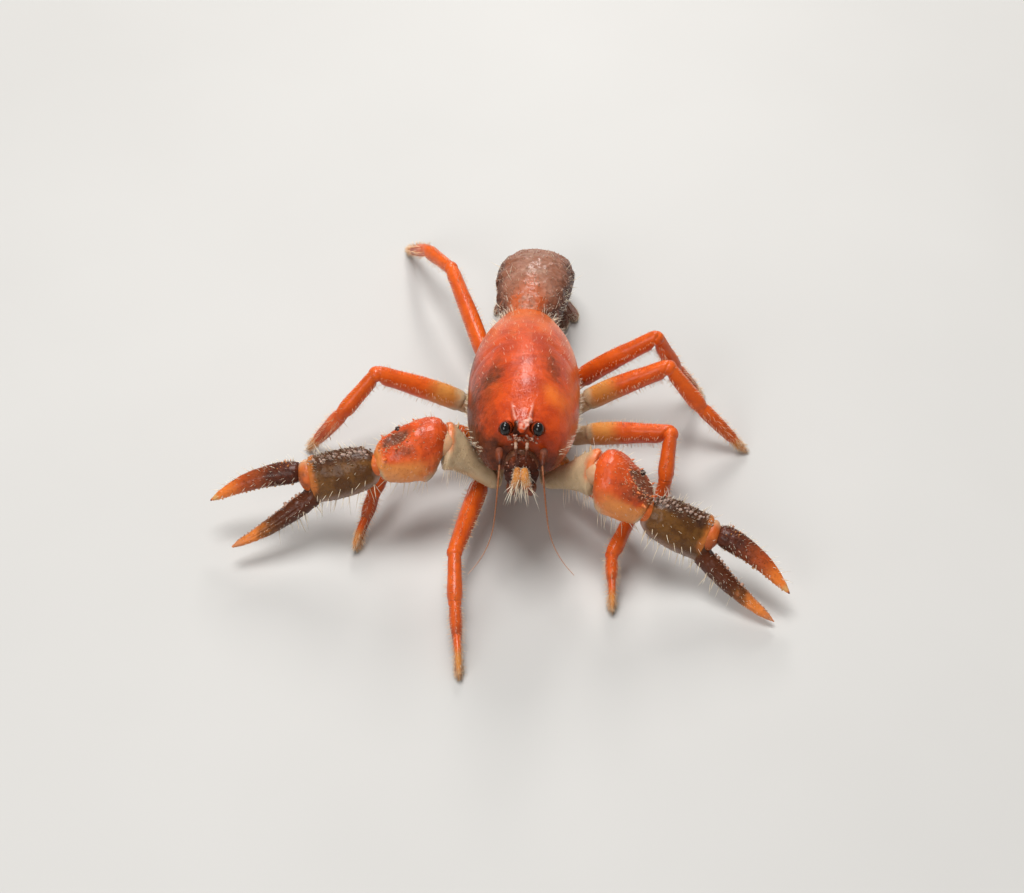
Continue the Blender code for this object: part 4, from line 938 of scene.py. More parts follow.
def make_eye(letter, s):
    centre = from_body(EYE_PLACE, s)
    Piece(sphere_grid(centre, EYE_RADII)).build(f"eyeball_{letter}", "eye", "eye_black", f"eye_{letter}")
    stalk = stretch(from_body(EYE_STALK_END, s), centre, EYE_STALK, UP).close(0.1, 0.05)
    stalk.paint = {"deep": 0.6}
    Piece(stalk).build(f"eyestalk_{letter}", "carapace", "shell_orange")


def make_mouth_plate():
    """Plate above the mouth, with the grains between the eyes."""
    grid = body_tube(MOUTH_PLATE, 1, (0, -1, 0.2), 64, 70).close(0.1, 0.1)
    z = into_body(grid.points)[..., 2]
    noise, fine = grid.rough(0.6, 4), grid.rough(0.26, 15)
    groove = hill(z, 4.9, 0.2)
    grid.push(0.14 * noise + 0.07 * fine - 0.08 * groove)
    grid.paint = {
        "deep": 0.45 + 0.5 * smooth(6.2, 5.2, z) + 0.5 * noise,
        "warm": 0.25 * smooth(4.6, 4.0, z) + 0.2 * noise,
        # Painted shade in the groove across the plate
        "dark": 0.6 * groove + 0.3 * fine,
    }
    plate = Piece(grid)
    plate.tubercles(grid, smooth(4.4, 5.4, z), 110, 0.05, 0.11, (0.0, 0.0, 0.3, 0.5), {"deep": 0.5})
    chance = random.Random("face")
    for _ in range(FACE_GRAINS):
        across = chance.uniform(-1, 1)
        height = 7.5 + 0.2 * across**2 + chance.gauss(0, 0.26)
        foot = from_body((1.45 * across, -9.8 + 0.18 * across**2, height))
        size = chance.uniform(0.05, 0.13)
        out = BODY_TURN @ (0.5 * across, -1, chance.uniform(0.2, 0.9))
        plate.cone(foot, out, size, size * 1.6, {"pale": chance.choice((0.35, 0.7, 1.0))}, sides=8, blunt=0.9)
    plate.build("epistome", "face", "shell_brown", "mouth_plate")


def make_antennae(letter, s):
    """The antenna's root and feeler, and the antennule."""
    grid = body_tube(scaled(ANTENNA_BASE, *ANTENNA_THIN), s).close(0.1, 0.15)
    noise = grid.rough(0.4, 8)
    grid.push(0.05 * noise)
    grid.paint = {"dark": 0.3 + 0.4 * smooth(0.5, 0.95, grid.along) + 0.4 * noise,
                  # Paler on the upper side near the base: painted light on the top
                  "pale": 0.25 * smooth(0.1, 0.8, grid.up_share()) * smooth(0.8, 0.3, grid.along)}
    Piece(grid).build(f"antenna_root_{letter}", "face", "shell_orange", f"antenna_base_{letter}")
    x, y, z = ANTENNA_BASE[-1][:3]
    path = [from_body((x, y + 0.1, z), s), from_body((x, y - GAP, z - 0.1), s)]
    for outward, rise in FEELER_BENDS:
        path.append(path[-1] + heading(-90 + s * outward, rise) * FEELER_STEP)
    rows = [(i, *p, FEELER_RADIUS * (1 - FEELER_TAPER * i)) for i, p in enumerate(path)]
    t = np.linspace(0, len(path) - 1, 300)
    table = curve(rows, t)
    radii = table[:, 3:] * (1 + 0.1 * np.cos(t / t[-1] * 2 * np.pi * FEELER_RINGS))[:, None]
    grid = bent_tube(table[:, :3], np.repeat(radii, 2, 1), (1, 0, 0.2), 16).close(0.03, 0.03)
    grid.paint = {"dark": 0.4 * (1 - grid.along), "pale": 0.5 * grid.along}
    Piece(grid).build(f"feeler_{letter}", "feeler", "feeler", f"antenna_{letter}")
    grid = body_tube(scaled(ANTENNULE, *ANTENNULE_THIN), s, sides=32, steps=120).close(0.05, 0.05)
    t = grid.along
    grid.push(0.02 * np.cos(t * 2 * np.pi * 14) * smooth(0.35, 0.5, t) - 0.05 * hill(t, 0.36, 0.02))
    grid.paint = {"pale": 0.6 * smooth(0.15, 0.3, t) * smooth(0.6, 0.4, t),
                  "dark": 0.35 + 0.5 * smooth(0.3, 0.6, t)}
    Piece(grid).build(f"antennule_flagella_{letter}", "feeler", "feeler", f"antennule_{letter}")


def make_jaw(letter, s, coat):
    """A third maxilliped, with bristles on its raised end."""
    grid = body_tube(MAXILLIPED, s, steps=110).close(0.1, 0.15)
    t = grid.along
    creases = 0.08 * hill(t, 0.51, 0.015) + 0.09 * hill(t, 0.66, 0.015)
    grid.push(0.09 * grid.rough(0.6, 11) + 0.05 * grid.rough(0.25, 16) - creases)
    noise = grid.rough(0.5, 17)
    grid.paint = {
        "warm": 0.9 * smooth(0.70, 0.82, t + 0.04 * noise) + 0.2 * noise,
        "pale": 0.45 * smooth(0.9, 0.78, t + 0.04 * noise) * smooth(0.66, 0.76, t),
        "dark": 0.95 * smooth(0.80, 0.68, t + 0.05 * noise) + 0.3 * noise + 0.3 * smooth(0.88, 1.0, t),
    }
    Piece(grid).build(f"jaw_leg_{letter}", "leg", "shell_orange", f"maxilliped_{letter}")
    coat.next_skin(grid)
    front = smooth(0.6, 0.8, t)
    coat.grow(front, 260, 0.24, 0.013, toward=(0, -0.1, -0.3), spread=0.35)
    coat.grow(front * smooth(0.3, -0.6, grid.up_share()) * smooth(0.93, 0.85, t), 18, 1.6, 0.042,
              toward=(s * 0.2, -0.5, -1.5), spread=0.35)


def add_mouth_flesh(skin):
    """Fills the space between the shell, the mouth plate and the jaws with flesh painted dark all over:
    partly the flesh's own colour, partly painted shade in that recess.
    """
    for centre, radii in MOUTH_FLESH:
        ball = sphere_grid(from_body(centre), radii, 48, 30)
        ball.push(0.06 * ball.rough(0.5, 71))
        ball.paint = {"dark": 1.0}
        skin.grid(ball)


def make_sternum(node):
    """The belly plate with its hip stubs, rounded from its solid."""
    faces = [tuple(p.vertices) for p in node.data.polygons]
    mesh = remeshed(read(node.data, "co") / MM - BASE, faces, 0.1, 4)
    points = read(mesh, "co")
    points = points + read(mesh, "normal") * (0.04 * rough(points, 0.8, 21))[:, None]
    pale = 0.6 + 0.3 * rough(points, 1.5, 2)
    settle("belly_plate", mesh, points, "leg", {"pale": pale}, "shell_brown", "sternum")


def tergite(centre, along, half, up, down, normal, gap, sides=96):
    """A ring of an abdomen segment: a rounded back, with a flat belly between its side flaps."""
    side = unit(np.cross(heading(ABDOMEN_YAW, 0), UP))
    edge = math.radians(ABDOMEN_EDGE)
    a = edge * np.linspace(-1, 1, sides)
    high = np.where(np.cos(a) < 0, down * np.cos(a) / abs(math.cos(edge)), up * np.cos(a))
    offset = side * (-half * np.sin(a))[:, None] + np.cross(side, along) * high[:, None]
    return centre + offset - along * ((offset @ normal) / (along @ normal))[:, None] + along * gap


def make_abdomen(coat):
    """Six overlapping tergites on a soft inner skin; returns where the tail fan starts."""
    ways = [heading(ABDOMEN_YAW, row[1]) for row in ABDOMEN]
    normals = [unit(BODY_TURN @ (0, 1.0, 0)), *(unit(a + b) for a, b in zip(ways, ways[1:])), ways[-1]]
    start, skin_rings = np.array(ABDOMEN_START), []
    for i, (length, _, half, up, down) in enumerate(ABDOMEN):
        along, before, after = ways[i], normals[i], normals[i + 1]
        start_gap = GAP / 2 / abs(along @ before) if i else -WAIST_TUCK
        end_gap = -TERGITE_LAP if i < len(ABDOMEN) - 1 else GAP / 2
        front_flare, rear_flare = TERGITE_FLARE[i]
        rings, places = [], np.linspace(0, 1, 48)
        end = start + along * length
        for t in places:
            swell = curve(TERGITE_SWELL, np.array([t]))[0, 0] + front_flare * (1 - t) ** 3 + rear_flare * t**3
            normal = unit(before * (1 - t) + after * t)
            middle = start + (end - start) * t
            gap = start_gap * (1 - t) - end_gap * t
            rings.append(tergite(middle, along, half * swell, up * swell, down * swell, normal, gap))
            if 0.05 < t < 0.95:
                inner = (half * 0.86, up * 0.88, down * 0.86)
                skin_rings.append(tergite(middle, along, *inner, normal, gap, 64))
        start = end
        grid = Grid(np.array(rings), places)
        grid.push(0.2 * grid.rough(1.0, 30 + i) + 0.08 * grid.rough(0.3, 60 + i))
        grid.close(0.05, 0.1, -before, after)
        t = grid.along
        lower = np.abs(np.linspace(-1, 1, t.shape[1]))[None, :]
        noise, fine = grid.rough(0.9, 70 + i), grid.rough(0.3, 80 + i)
        grid.paint = {
            # The sides and belly are darker: painted shade on the rounded segment, over its own mottling
            "dark": 0.15 + 0.3 * noise + 0.35 * fine + 0.75 * smooth(0.25, 0.7, lower)
            + 0.15 * smooth(1, 4, i),
            "warm": WAIST_ORANGE[i] * smooth(0.6, 0.05, lower + 0.35 * t * (i > 0)) + 0.2 * noise,
            # Paler along the top: painted highlight on the rounded back, besides the pale rear edges and
            # mottling
            "pale": 0.1 * smooth(0.86, 0.97, t) + 0.3 * noise - 0.2 * fine + 0.25 * smooth(0.4, 0.1, lower),
        }
        segment = Piece(grid)
        segment.tubercles(grid, smooth(0.9, 0.5, lower), 150, 0.04, 0.1, (0.1, 0.4, 0.7), {"dark": 0.2})
        segment.build(f"tergite_{i + 1}", "abdomen", "shell_brown", f"abdomen_{i + 1}")
        coat.next_skin(grid)
        coat.grow(0.3 + smooth(0.4, 0.7, lower), 330, 0.34, 0.015, lean=0.6)
        coat.grow(smooth(0.15, 0.6, lower) * smooth(0.4, 0.9, t), 20, 1.3, 0.032, lean=0.5)
    skin = Grid(np.array(skin_rings), np.linspace(0, 1, len(skin_rings)))
    skin.paint = {"dark": 0.3, "warm": 0.4}
    Piece(skin).build("abdomen_skin", "abdomen", "shell_brown")
    return start


def make_vane(name, s, root, row, coat):
    """One plate of the tail fan, flat on the floor, with its raised rays and fine ribs."""
    offset, splay, length, foot_half, middle_half, end_half = row
    along = heading(ABDOMEN_YAW + 180, 0)
    across = np.cross(along, UP)
    turn = math.radians(splay) * s
    forward = along * math.cos(turn) + across * math.sin(turn)
    sideways = across * math.cos(turn) - along * math.sin(turn)
    start = np.array((root[0], root[1], FAN_HEIGHT)) + across * (offset * s) + along * FAN_START
    widths = (foot_half, (foot_half + middle_half) / 2, middle_half, end_half + FAN_END_FLARE,
              end_half * FAN_TIP)
    rows = [(t, w, FAN_THICK / 2 * thick) for (t, thick), w in zip(FAN_VANE, widths)]
    t = np.linspace(0, 1, 70)
    grid = Grid(ovals(start + forward * (length * t)[:, None], curve(rows, t), sideways, UP, 72), t)
    a = ring_angles(72)
    upper = np.sin(a) > 0
    rays = (0.0,) if s else (-0.42, 0.42)
    grid.points[..., 2] += 0.1 * sum(hill(np.cos(a), r, 0.12) for r in rays) * upper
    grid.points[..., 2] += 0.03 * np.sin(np.cos(a) * 26) * upper * t[:, None]
    grid.close(0.1, 0.15)
    grid.paint = {"dark": 0.5, "pale": smooth(0.6, 1.0, grid.along) * 0.25}
    Piece(grid).build(f"vane_{name}", "abdomen", "shell_brown", name)
    coat.next_skin(grid)
    coat.grow(smooth(0.7, 1.0, grid.along) + (np.abs(np.cos(grid.angle)) > 0.9), 240, 0.36, 0.016, lean=1.6,
              spread=0.12, bend=0.05)


def make_fan(root, coat):
    """Telson and four uropods, tucked forward under the abdomen."""
    for kind, row in FAN.items():
        if kind == "telson":
            make_vane(kind, 0, root, row, coat)
            continue
        for letter, s in SIDES.items():
            make_vane(f"{kind}_{letter}", s, root, row, coat)


def half_gap(along, normal):
    return 0.0 if normal is None else GAP / 2 / abs(along @ normal)


def make_leg(key, coat):
    """A walking leg: coxa to merus, then carpus, propodus and dactyl or hand, with round joints."""
    number, brown, cream = key[1], LEG_BROWN[key], LEG_CREAM[key]
    root = from_body(LEG_ROOTS[number], SIDES[key[0]])
    (upper_length, *upper_turns), (carpus_length, *carpus_turns), (hand_length, hand_yaw) = LEG_POSES[key]
    knee = root + heading(*upper_turns) * upper_length
    wrist = knee + heading(*carpus_turns) * carpus_length
    foot = wrist + heading(hand_yaw, -math.degrees(math.asin(wrist[2] / hand_length))) * hand_length
    upper, carpus, hand = unit(knee - root), unit(wrist - knee), unit(foot - wrist)
    knee_plane, wrist_plane = unit(upper + carpus), unit(carpus + hand)
    thin = (LEG_SCALE[number],) * 2
    chelate = number in "23"
    grid = stretch(root, knee, scaled(LEG_UPPER, *thin), UP, (None, knee_plane),
                   (0, half_gap(upper, knee_plane)), bow=LEG_BOW[number])
    creases = 0.09 * hill(grid.along, 0.145, 0.008) + 0.07 * hill(grid.along, 0.32, 0.007)
    grid.push(0.035 * grid.rough(0.9, 41) - creases)
    grid.close(0.2, 0.12, None, knee_plane)
    t, noise = grid.along, grid.rough(0.8, 43)
    grid.paint = {
        "pale": smooth(cream + 0.02, cream - 0.1, t + 0.04 * noise),
        "warm": smooth(cream + 0.3, cream + 0.02, t + 0.05 * noise) + 0.15 * noise,
        # Darker on the underside: painted shade; brown is the leg's own colour
        "dark": brown * (0.35 + 0.5 * noise) + 0.2 * smooth(0.0, -0.8, grid.up_share()),
        "deep": brown * 0.6,
    }
    Piece(grid).build(f"limb_{key}_upper", "leg", "shell_orange", f"leg_{key}_upper")
    coat.next_skin(grid)
    for turn, start in LEG_COMBS:
        coat.comb(turn, start, 0.97, 40, 0.5, 0.024, lean=0.15, spread=0.12)
    grid = stretch(knee, wrist, scaled(LEG_CARPUS, *thin), heading(carpus_turns[0], LEG_LEAN),
                   (knee_plane, wrist_plane), (half_gap(carpus, knee_plane), 0.1))
    grid.push(0.03 * grid.rough(0.8, 44))
    grid.close(0.12, 0.1, -knee_plane, wrist_plane)
    grid.paint = {"warm": 0.15, "deep": brown * (0.5 + 0.3 * grid.along), "dark": brown * 0.4}
    lower = Piece(grid)
    coat.next_skin(grid)
    for turn in (90, 0, 180, 270, 225, 315):
        coat.comb(turn, 0.05, 0.97, 18, 0.5, 0.024, lean=0.15, spread=0.12)
    hand_up = heading(hand_yaw, LEG_LEAN)
    rows = scaled(HAND_PALM if chelate else LEG_PROPODUS, *thin)
    (_, *first), (_, *last) = rows[0], rows[-1]
    rows = [(0.0, *(0.9 * x for x in first)), *rows, (0.97, *(0.5 * x for x in last)), (1.0, 0.06, 0.06)]
    grid = stretch(wrist, foot + UP * 0.1, rows, hand_up, (wrist_plane, None), (0.06, 0))
    grid.push(0.025 * grid.rough(0.7, 45) - (0 if chelate else 0.06) * hill(grid.along, 0.7, 0.012))
    grid.close(0.1, 0.05, -wrist_plane)
    t = grid.along
    grid.paint = {
        "deep": brown * smooth(0.9, 0.5, t) + 0.35 * smooth(0.2, 0.5, t) * smooth(0.85, 0.6, t),
        "warm": smooth(0.62, 0.85, t),
        "pale": 0.5 * smooth(0.88, 1.0, t),
    }
    grid.points[..., 2] = np.maximum(grid.points[..., 2], 0.01)
    lower.grid(grid)
    coat.next_skin(grid)
    for turn in (0, 45, 90, 135, 180, 225, 315):
        coat.comb(turn, 0.05, 0.9, 28, 0.52, 0.024, lean=0.35, spread=0.15)
    coat.grow(smooth(0.62, 0.9, t), 210, 0.46, 0.020, lean=1.1, toward=(0, 0, 0.15))
    if chelate:
        add_hand_finger(lower, wrist, foot, hand_up, coat)
    for joint, size in ((knee, KNEE_RADIUS), (wrist, WRIST_RADIUS)):
        ball = sphere_grid(joint, size * thin[0], 32, 20)
        ball.paint = {"deep": brown * 0.5, "warm": 0.1}
        lower.grid(ball)
    lower.build(f"limb_{key}_lower", "leg", "shell_orange", f"leg_{key}_lower")


def add_hand_finger(piece, wrist, foot, hand_up, coat):
    """The moving finger of a small pincer, which lifts off the palm."""
    up = axes(unit(foot - wrist), hand_up)[1]
    t = np.linspace(HAND_FINGER[0][0] - 0.06, HAND_FINGER[-1][0], 50)
    turn = math.radians(HAND_TURN) * np.clip((t - HAND_PARTING) / (1 - HAND_PARTING), 0, 1)
    centres = wrist + (foot - wrist) * t[:, None] + up * (HAND_SPREAD * np.sin(turn))[:, None]
    grid = bent_tube(centres, curve(HAND_FINGER, t), up, 32, t).close(0.1, 0.1)
    grid.paint = {"deep": 0.3, "warm": smooth(0.5, 0.8, grid.along),
                  "pale": 0.5 * smooth(0.8, 0.95, grid.along)}
    piece.grid(grid)
    coat.next_skin(grid)
    coat.grow(smooth(0.4, 0.8, grid.along), 150, 0.4, 0.017, lean=1.0)


class Limb:
    """A stretch of a claw: its table, its ends, and the ways along it, to its side and to its upper edge."""

    def __init__(self, letter, rows, start, end, up):
        self.letter, self.outer, self.rows = letter, SIDES[letter], rows
        self.start, self.reach = start, end - start
        self.along = unit(self.reach)
        self.side, self.up = axes(self.along, up)

    def way(self, turn):
        a = math.radians(turn)
        return self.side * (self.outer * math.sin(a)) + self.up * math.cos(a)

    def spot(self, place_at, turn):
        """Foot and outward way of a spine, from its place along and its turn from the upper edge."""
        w, h = curve(self.rows, np.array([place_at]))[0]
        a = math.radians(turn)
        across, rise = self.outer * math.sin(a), math.cos(a)
        foot = self.start + self.reach * place_at + self.side * (w * across) + self.up * (h * rise)
        return foot, unit(self.side * (across / w) + self.up * (rise / h))


def press_hollow(grid, limb):
    """Presses the carpus's hollow into its grid; returns how far inside it each point is."""
    place_at, turn, half_length, half_width, depth = HOLLOW
    out = limb.way(turn)
    offset = grid.points - (limb.start + limb.reach * place_at)
    share = (offset @ limb.along / half_length) ** 2 + (offset @ np.cross(out, limb.along) / half_width) ** 2
    inside = np.clip(1 - share, 0, 1) ** 1.5 * (offset @ out > 0)
    grid.points = grid.points - out * (depth * inside)[..., None]
    return inside


def dress_ischium(limb, grid, first, last, coat):
    grid.push(0.03 * grid.rough(0.8, 50))
    grid.close(0.1, 0.12, None, last)
    grid.paint = {"pale": 0.95}
    coat.next_skin(grid)
    return Piece(grid)


def dress_merus(limb, grid, first, last, coat):
    grid.push(0.04 * grid.rough(1.0, 51) + 0.05 * hill(grid.up_share(), 1, 0.06))
    grid.close(0.1, 0.15, first, last)
    noise = grid.rough(1.0, 52)
    grid.paint = {
        "pale": 1.0 - 0.75 * smooth(0.84, 0.97, grid.along + 0.06 * noise)
        * smooth(-0.8, 0.0, grid.up_share()),
        "warm": 0.5 * smooth(0.8, 0.95, grid.along),
    }
    piece = Piece(grid)
    for place_at, turn, radius, length in MERUS_SPINES:
        piece.stud(limb, place_at, turn, radius * 0.6, length * 0.8, {"pale": 0.9}, lean=0.4)
    coat.next_skin(grid)
    coat.comb(270, 0.3, 0.97, 16, 1.5, 0.03, toward=(0, -0.2, -0.6), lean=0.2)
    coat.comb(250, 0.5, 0.97, 12, 0.9, 0.018, toward=(0, -0.2, -0.6))
    coat.comb(90, 0.5, 0.97, 9, 1.1, 0.03, lean=0.2)
    coat.grow(1, 160, 0.25, 0.013, lean=0.6)
    return piece


def dress_carpus(limb, grid, first, last, coat):
    inside = press_hollow(grid, limb)
    grid.push(0.12 * grid.rough(1.2, 53) + 0.05 * grid.rough(0.4, 68) + 0.09 * inside * grid.rough(0.32, 54))
    grid.close(0.12, 0.15, first, last)
    inside = extended(inside)
    noise, fine = grid.rough(0.9, 55), grid.rough(0.35, 59)
    t, up_share = grid.along, grid.up_share()
    low = smooth(0.3, -0.5, up_share + 0.15 * noise)
    grid.paint = {
        # Dark in the hollow, most where it is deepest: partly its muddy colour, partly painted shade in the
        # recess
        "dark": 0.8 * smooth(0.0, 0.8, inside + 0.2 * fine) * smooth(0.0, 0.1, inside) + 0.35 * noise
        + CARPUS_MUD[limb.letter] * smooth(0.3, 0.65, t) * smooth(0.0, 0.6, up_share + 0.3 * fine)
        + 0.4 * hill(up_share, 0.25, 0.25) * smooth(0.35, 0.5, t) * smooth(0.85, 0.65, t),
        "warm": 0.9 * low * smooth(0.2, 0.75, t + 0.1 * noise) + 0.75 * smooth(0.8, 0.97, t)
        + 0.4 * low * smooth(-0.4, 0.2, np.cos(grid.angle) * limb.outer) + 0.2 * noise,
        "pale": 0.75 * smooth(-0.45, -0.9, up_share + 0.1 * noise) * smooth(0.6, 0.2, t)
        + 0.55 * smooth(0.92, 1.0, t) * smooth(0.3, -0.4, up_share)
        + 0.25 * smooth(0.1, -0.5, up_share) * smooth(0.55, 0.8, t),
    }
    piece = Piece(grid)
    outside = smooth(-0.4, 0.4, up_share) * smooth(0.3, 0.0, inside)
    piece.tubercles(grid, outside, 90, 0.035, 0.08, (0.1, 0.3, 0.6), {"warm": 0.3})
    for place_at, turn, radius, length in CARPUS_SPINES:
        piece.stud(limb, place_at, turn, radius * 0.5, length * 0.6, {"warm": 0.5, "pale": 0.2}, lean=0.5)
    chance = random.Random(f"carpus {limb.letter}")
    for share in np.linspace(0, 1, CARPUS_GRAINS):
        place_at = 0.34 + 0.6 * share + chance.uniform(-0.03, 0.03)
        turn = 46 + 10 * math.sin(3 * share) + chance.uniform(-12, 12)
        size = chance.uniform(0.04, 0.10)
        tone = {"pale": chance.uniform(0.3, 0.7), "warm": 0.3}
        piece.stud(limb, place_at, turn, size, size * 1.3, tone, 0.05, blunt=0.9, sides=7)
    piece.stud(limb, 0.56, -4, 0.34, 0.24, {"deep": 1.0}, 0.05, sides=14, blunt=1.0)
    coat.next_skin(grid)
    coat.comb(90, 0.15, 0.95, 11, 1.1, 0.036, lean=0.3)
    coat.comb(90 + 25 * limb.outer, 0.1, 0.9, 10, 0.8, 0.024, lean=0.3)
    coat.comb(270, 0.25, 0.97, 10, 1.5, 0.04, toward=(0, -0.1, -0.4), lean=0.3)
    coat.grow(0.2 + smooth(0.3, 0.9, up_share), 420, 0.25, 0.014, lean=0.6)
    return piece


def dress_palm(limb, grid, first, last, coat):
    """The palm and its fixed finger in one; past 1, the place along is on the finger."""
    t = grid.along
    crease = 0.05 * hill(grid.up_share(), 0.1, 0.12) * smooth(1.1, 1.3, t) * smooth(1.9, 1.7, t)
    grid.push(0.06 * grid.rough(0.9, 56) + 0.04 * grid.rough(0.28, 57)
              + 0.05 * grid.rough(0.4, 67) * smooth(0.96, 1.04, t) - crease)
    grid.close(0.12, 0.08, first)
    t, up_share = grid.along, grid.up_share()
    hand = smooth(1.05, 0.97, t)
    noise, fine = grid.rough(0.8, 58), grid.rough(0.3, 64)
    high, low = smooth(0.3, 0.75, up_share + 0.1 * noise), smooth(-0.45, -0.95, up_share)
    band = smooth(0.8, 0.92, t + 0.04 * noise) * smooth(1.03, 0.99, t) * smooth(-0.75, -0.2, up_share)
    grid.paint = {
        "dark": hand * (0.95 * high + 0.3 * noise) * (1 - band),
        "pale": hand * (0.55 * low + 0.4 * smooth(0.1, 0.0, t) * smooth(0.3, -0.4, up_share)
                        + 0.45 * smooth(0.2, 0.7, fine) * high) + 0.4 * smooth(1.75, 2.0, t),
        "warm": 0.6 * band + smooth(1.4, 1.85, t + 0.12 * noise) + 0.3 * smooth(0.08, 0.0, t),
        "deep": 0.9 * smooth(0.9, 1.1, t) * smooth(1.85, 1.35, t + 0.12 * noise) * (1 - band),
    }
    piece = Piece(grid)
    chance = random.Random(f"palm {limb.letter}")
    for turn, count, radius in PALM_GRANULES:
        pales = (0.5, 0.8, 1.0) if 20 < turn < 40 else (0.0, 0.2, 0.5)
        for k in range(count):
            place_at = 0.06 + 0.88 * (k + chance.uniform(-0.6, 0.6)) / (count - 1)
            spot = (min(max(place_at, 0.04), 0.95), turn + chance.gauss(0, 6))
            size = radius * chance.uniform(0.5, 1.35)
            tone = {"pale": chance.choice(pales), "dark": 0.5}
            piece.stud(limb, *spot, size, size * 1.3, tone, 0.03, 0.3, blunt=0.9, sides=8)
    face = 0 if limb.outer > 0 else 180
    coat.next_skin(grid)
    for turn, *row in PALM_BRISTLES:
        toward = (0, -0.15, -0.35) if turn < 0 else (0, 0, 0)
        coat.comb(face + turn * limb.outer, *row, toward=toward, lean=0.25)
    coat.grow(hand * high, 260, 0.28, 0.015, lean=0.4)
    coat.grow(smooth(1.05, 1.2, t), 150, 0.28, 0.016, lean=0.5)
    return piece


# Claw pieces: sections, sides, material, slot and what dresses them
CLAW_PARTS = {
    "ischium": (CLAW_ISCHIUM, 72, "claw", "shell_cream", dress_ischium),
    "merus": (CLAW_MERUS, 96, "claw", "shell_cream", dress_merus),
    "carpus": (CLAW_CARPUS, 140, "claw", "shell_orange", dress_carpus),
    "palm": (CLAW_PALM, 128, "chela", "claw_brown", dress_palm),
}


def add_teeth(piece, letter, kind, places, centres, sizes, inward):
    """Rounded teeth along a finger's cutting edge, biggest near its base."""
    chance = random.Random(f"teeth {letter} {kind}")
    for k in range(TEETH):
        t = 0.14 + 0.78 * k / (TEETH - 1)
        i = min(int(np.searchsorted(places, t)), len(places) - 1)
        radius = 0.19 * (1 - 0.6 * t) * chance.uniform(0.6, 1.25) * (1.5 if k in (4, 9) else 1.0)
        root = centres[i] + inward * (sizes[i, 1] * 0.95)
        piece.cone(root, inward, radius, radius * 1.1, {"warm": 0.5, "pale": 0.6}, sides=10, blunt=1.0)


def finger_line(letter, number, root, bow, rows, places):
    """Centres, sizes and the edge and lift ways of a bowed finger."""
    length, yaw, rise = CLAW_POSES[letter][number]
    way = heading(yaw, rise)
    edge, lift = axes(way, CLAW_LEAN[letter])
    centres = root + way * (length * places)[:, None] + lift * (bow * np.sin(np.pi * places))[:, None]
    return centres, curve(rows, places), edge, lift


def add_moving_finger(letter, root, coat):
    places = np.linspace(0, 1, FINGER_STEPS)
    centres, sizes, _, lift = finger_line(letter, 4, root, FINGER_BOW, MOVING_FINGER, places)
    lean = CLAW_LEAN[letter]
    grid = bent_tube(centres, sizes, lean, 80, places)
    keel = 0.05 * hill(grid.up_share(), 1, 0.05) * smooth(0.1, 0.3, grid.along) * smooth(0.9, 0.6, grid.along)
    grid.push(0.04 * grid.rough(0.7, 63) + 0.025 * grid.rough(0.25, 65) + keel)
    grid.close(0.25, 0.08)
    t, noise = grid.along, grid.rough(0.8, 61)
    grid.paint = {
        "dark": smooth(0.60, 0.15, t + 0.1 * noise),
        "deep": 0.6 * smooth(0.8, 0.4, t + 0.1 * noise) + 0.9 * smooth(0.975, 1.0, t),
        "warm": smooth(0.45, 0.95, t),
        "pale": 0.6 * smooth(0.86, 0.94, t) * smooth(0.995, 0.96, t),
    }
    piece = Piece(grid)
    add_teeth(piece, letter, "moving", places, centres, sizes, -lift)
    rise = lift * (FINGER_BOW * math.sin(math.pi * 0.3))
    limb = Limb(letter, MOVING_FINGER, centres[0] + rise, centres[-1] + rise, lean)
    chance = random.Random(f"granules {letter}")
    for _ in range(FINGER_GRANULES):
        spot = (chance.uniform(0.06, 0.5), chance.uniform(-50, 80))
        size = chance.uniform(0.035, 0.075)
        piece.stud(limb, *spot, size, size * 2.0, {"pale": 0.4, "warm": 0.5}, 0.1, blunt=0.9, sides=7)
    coat.next_skin(grid)
    for turn, count, length in ((90, 13, 0.85), (60, 10, 0.6), (120, 10, 0.6), (200, 8, 0.7), (340, 8, 0.7)):
        coat.comb(turn, 0.06, 0.85, count, length, 0.03, lean=0.5)
    coat.grow(0.3 + smooth(0.6, 0.2, t), 170, 0.26, 0.016, lean=0.5)
    piece.build(f"dactyl_{letter}", "finger", "claw_brown", f"claw_{letter}_finger")


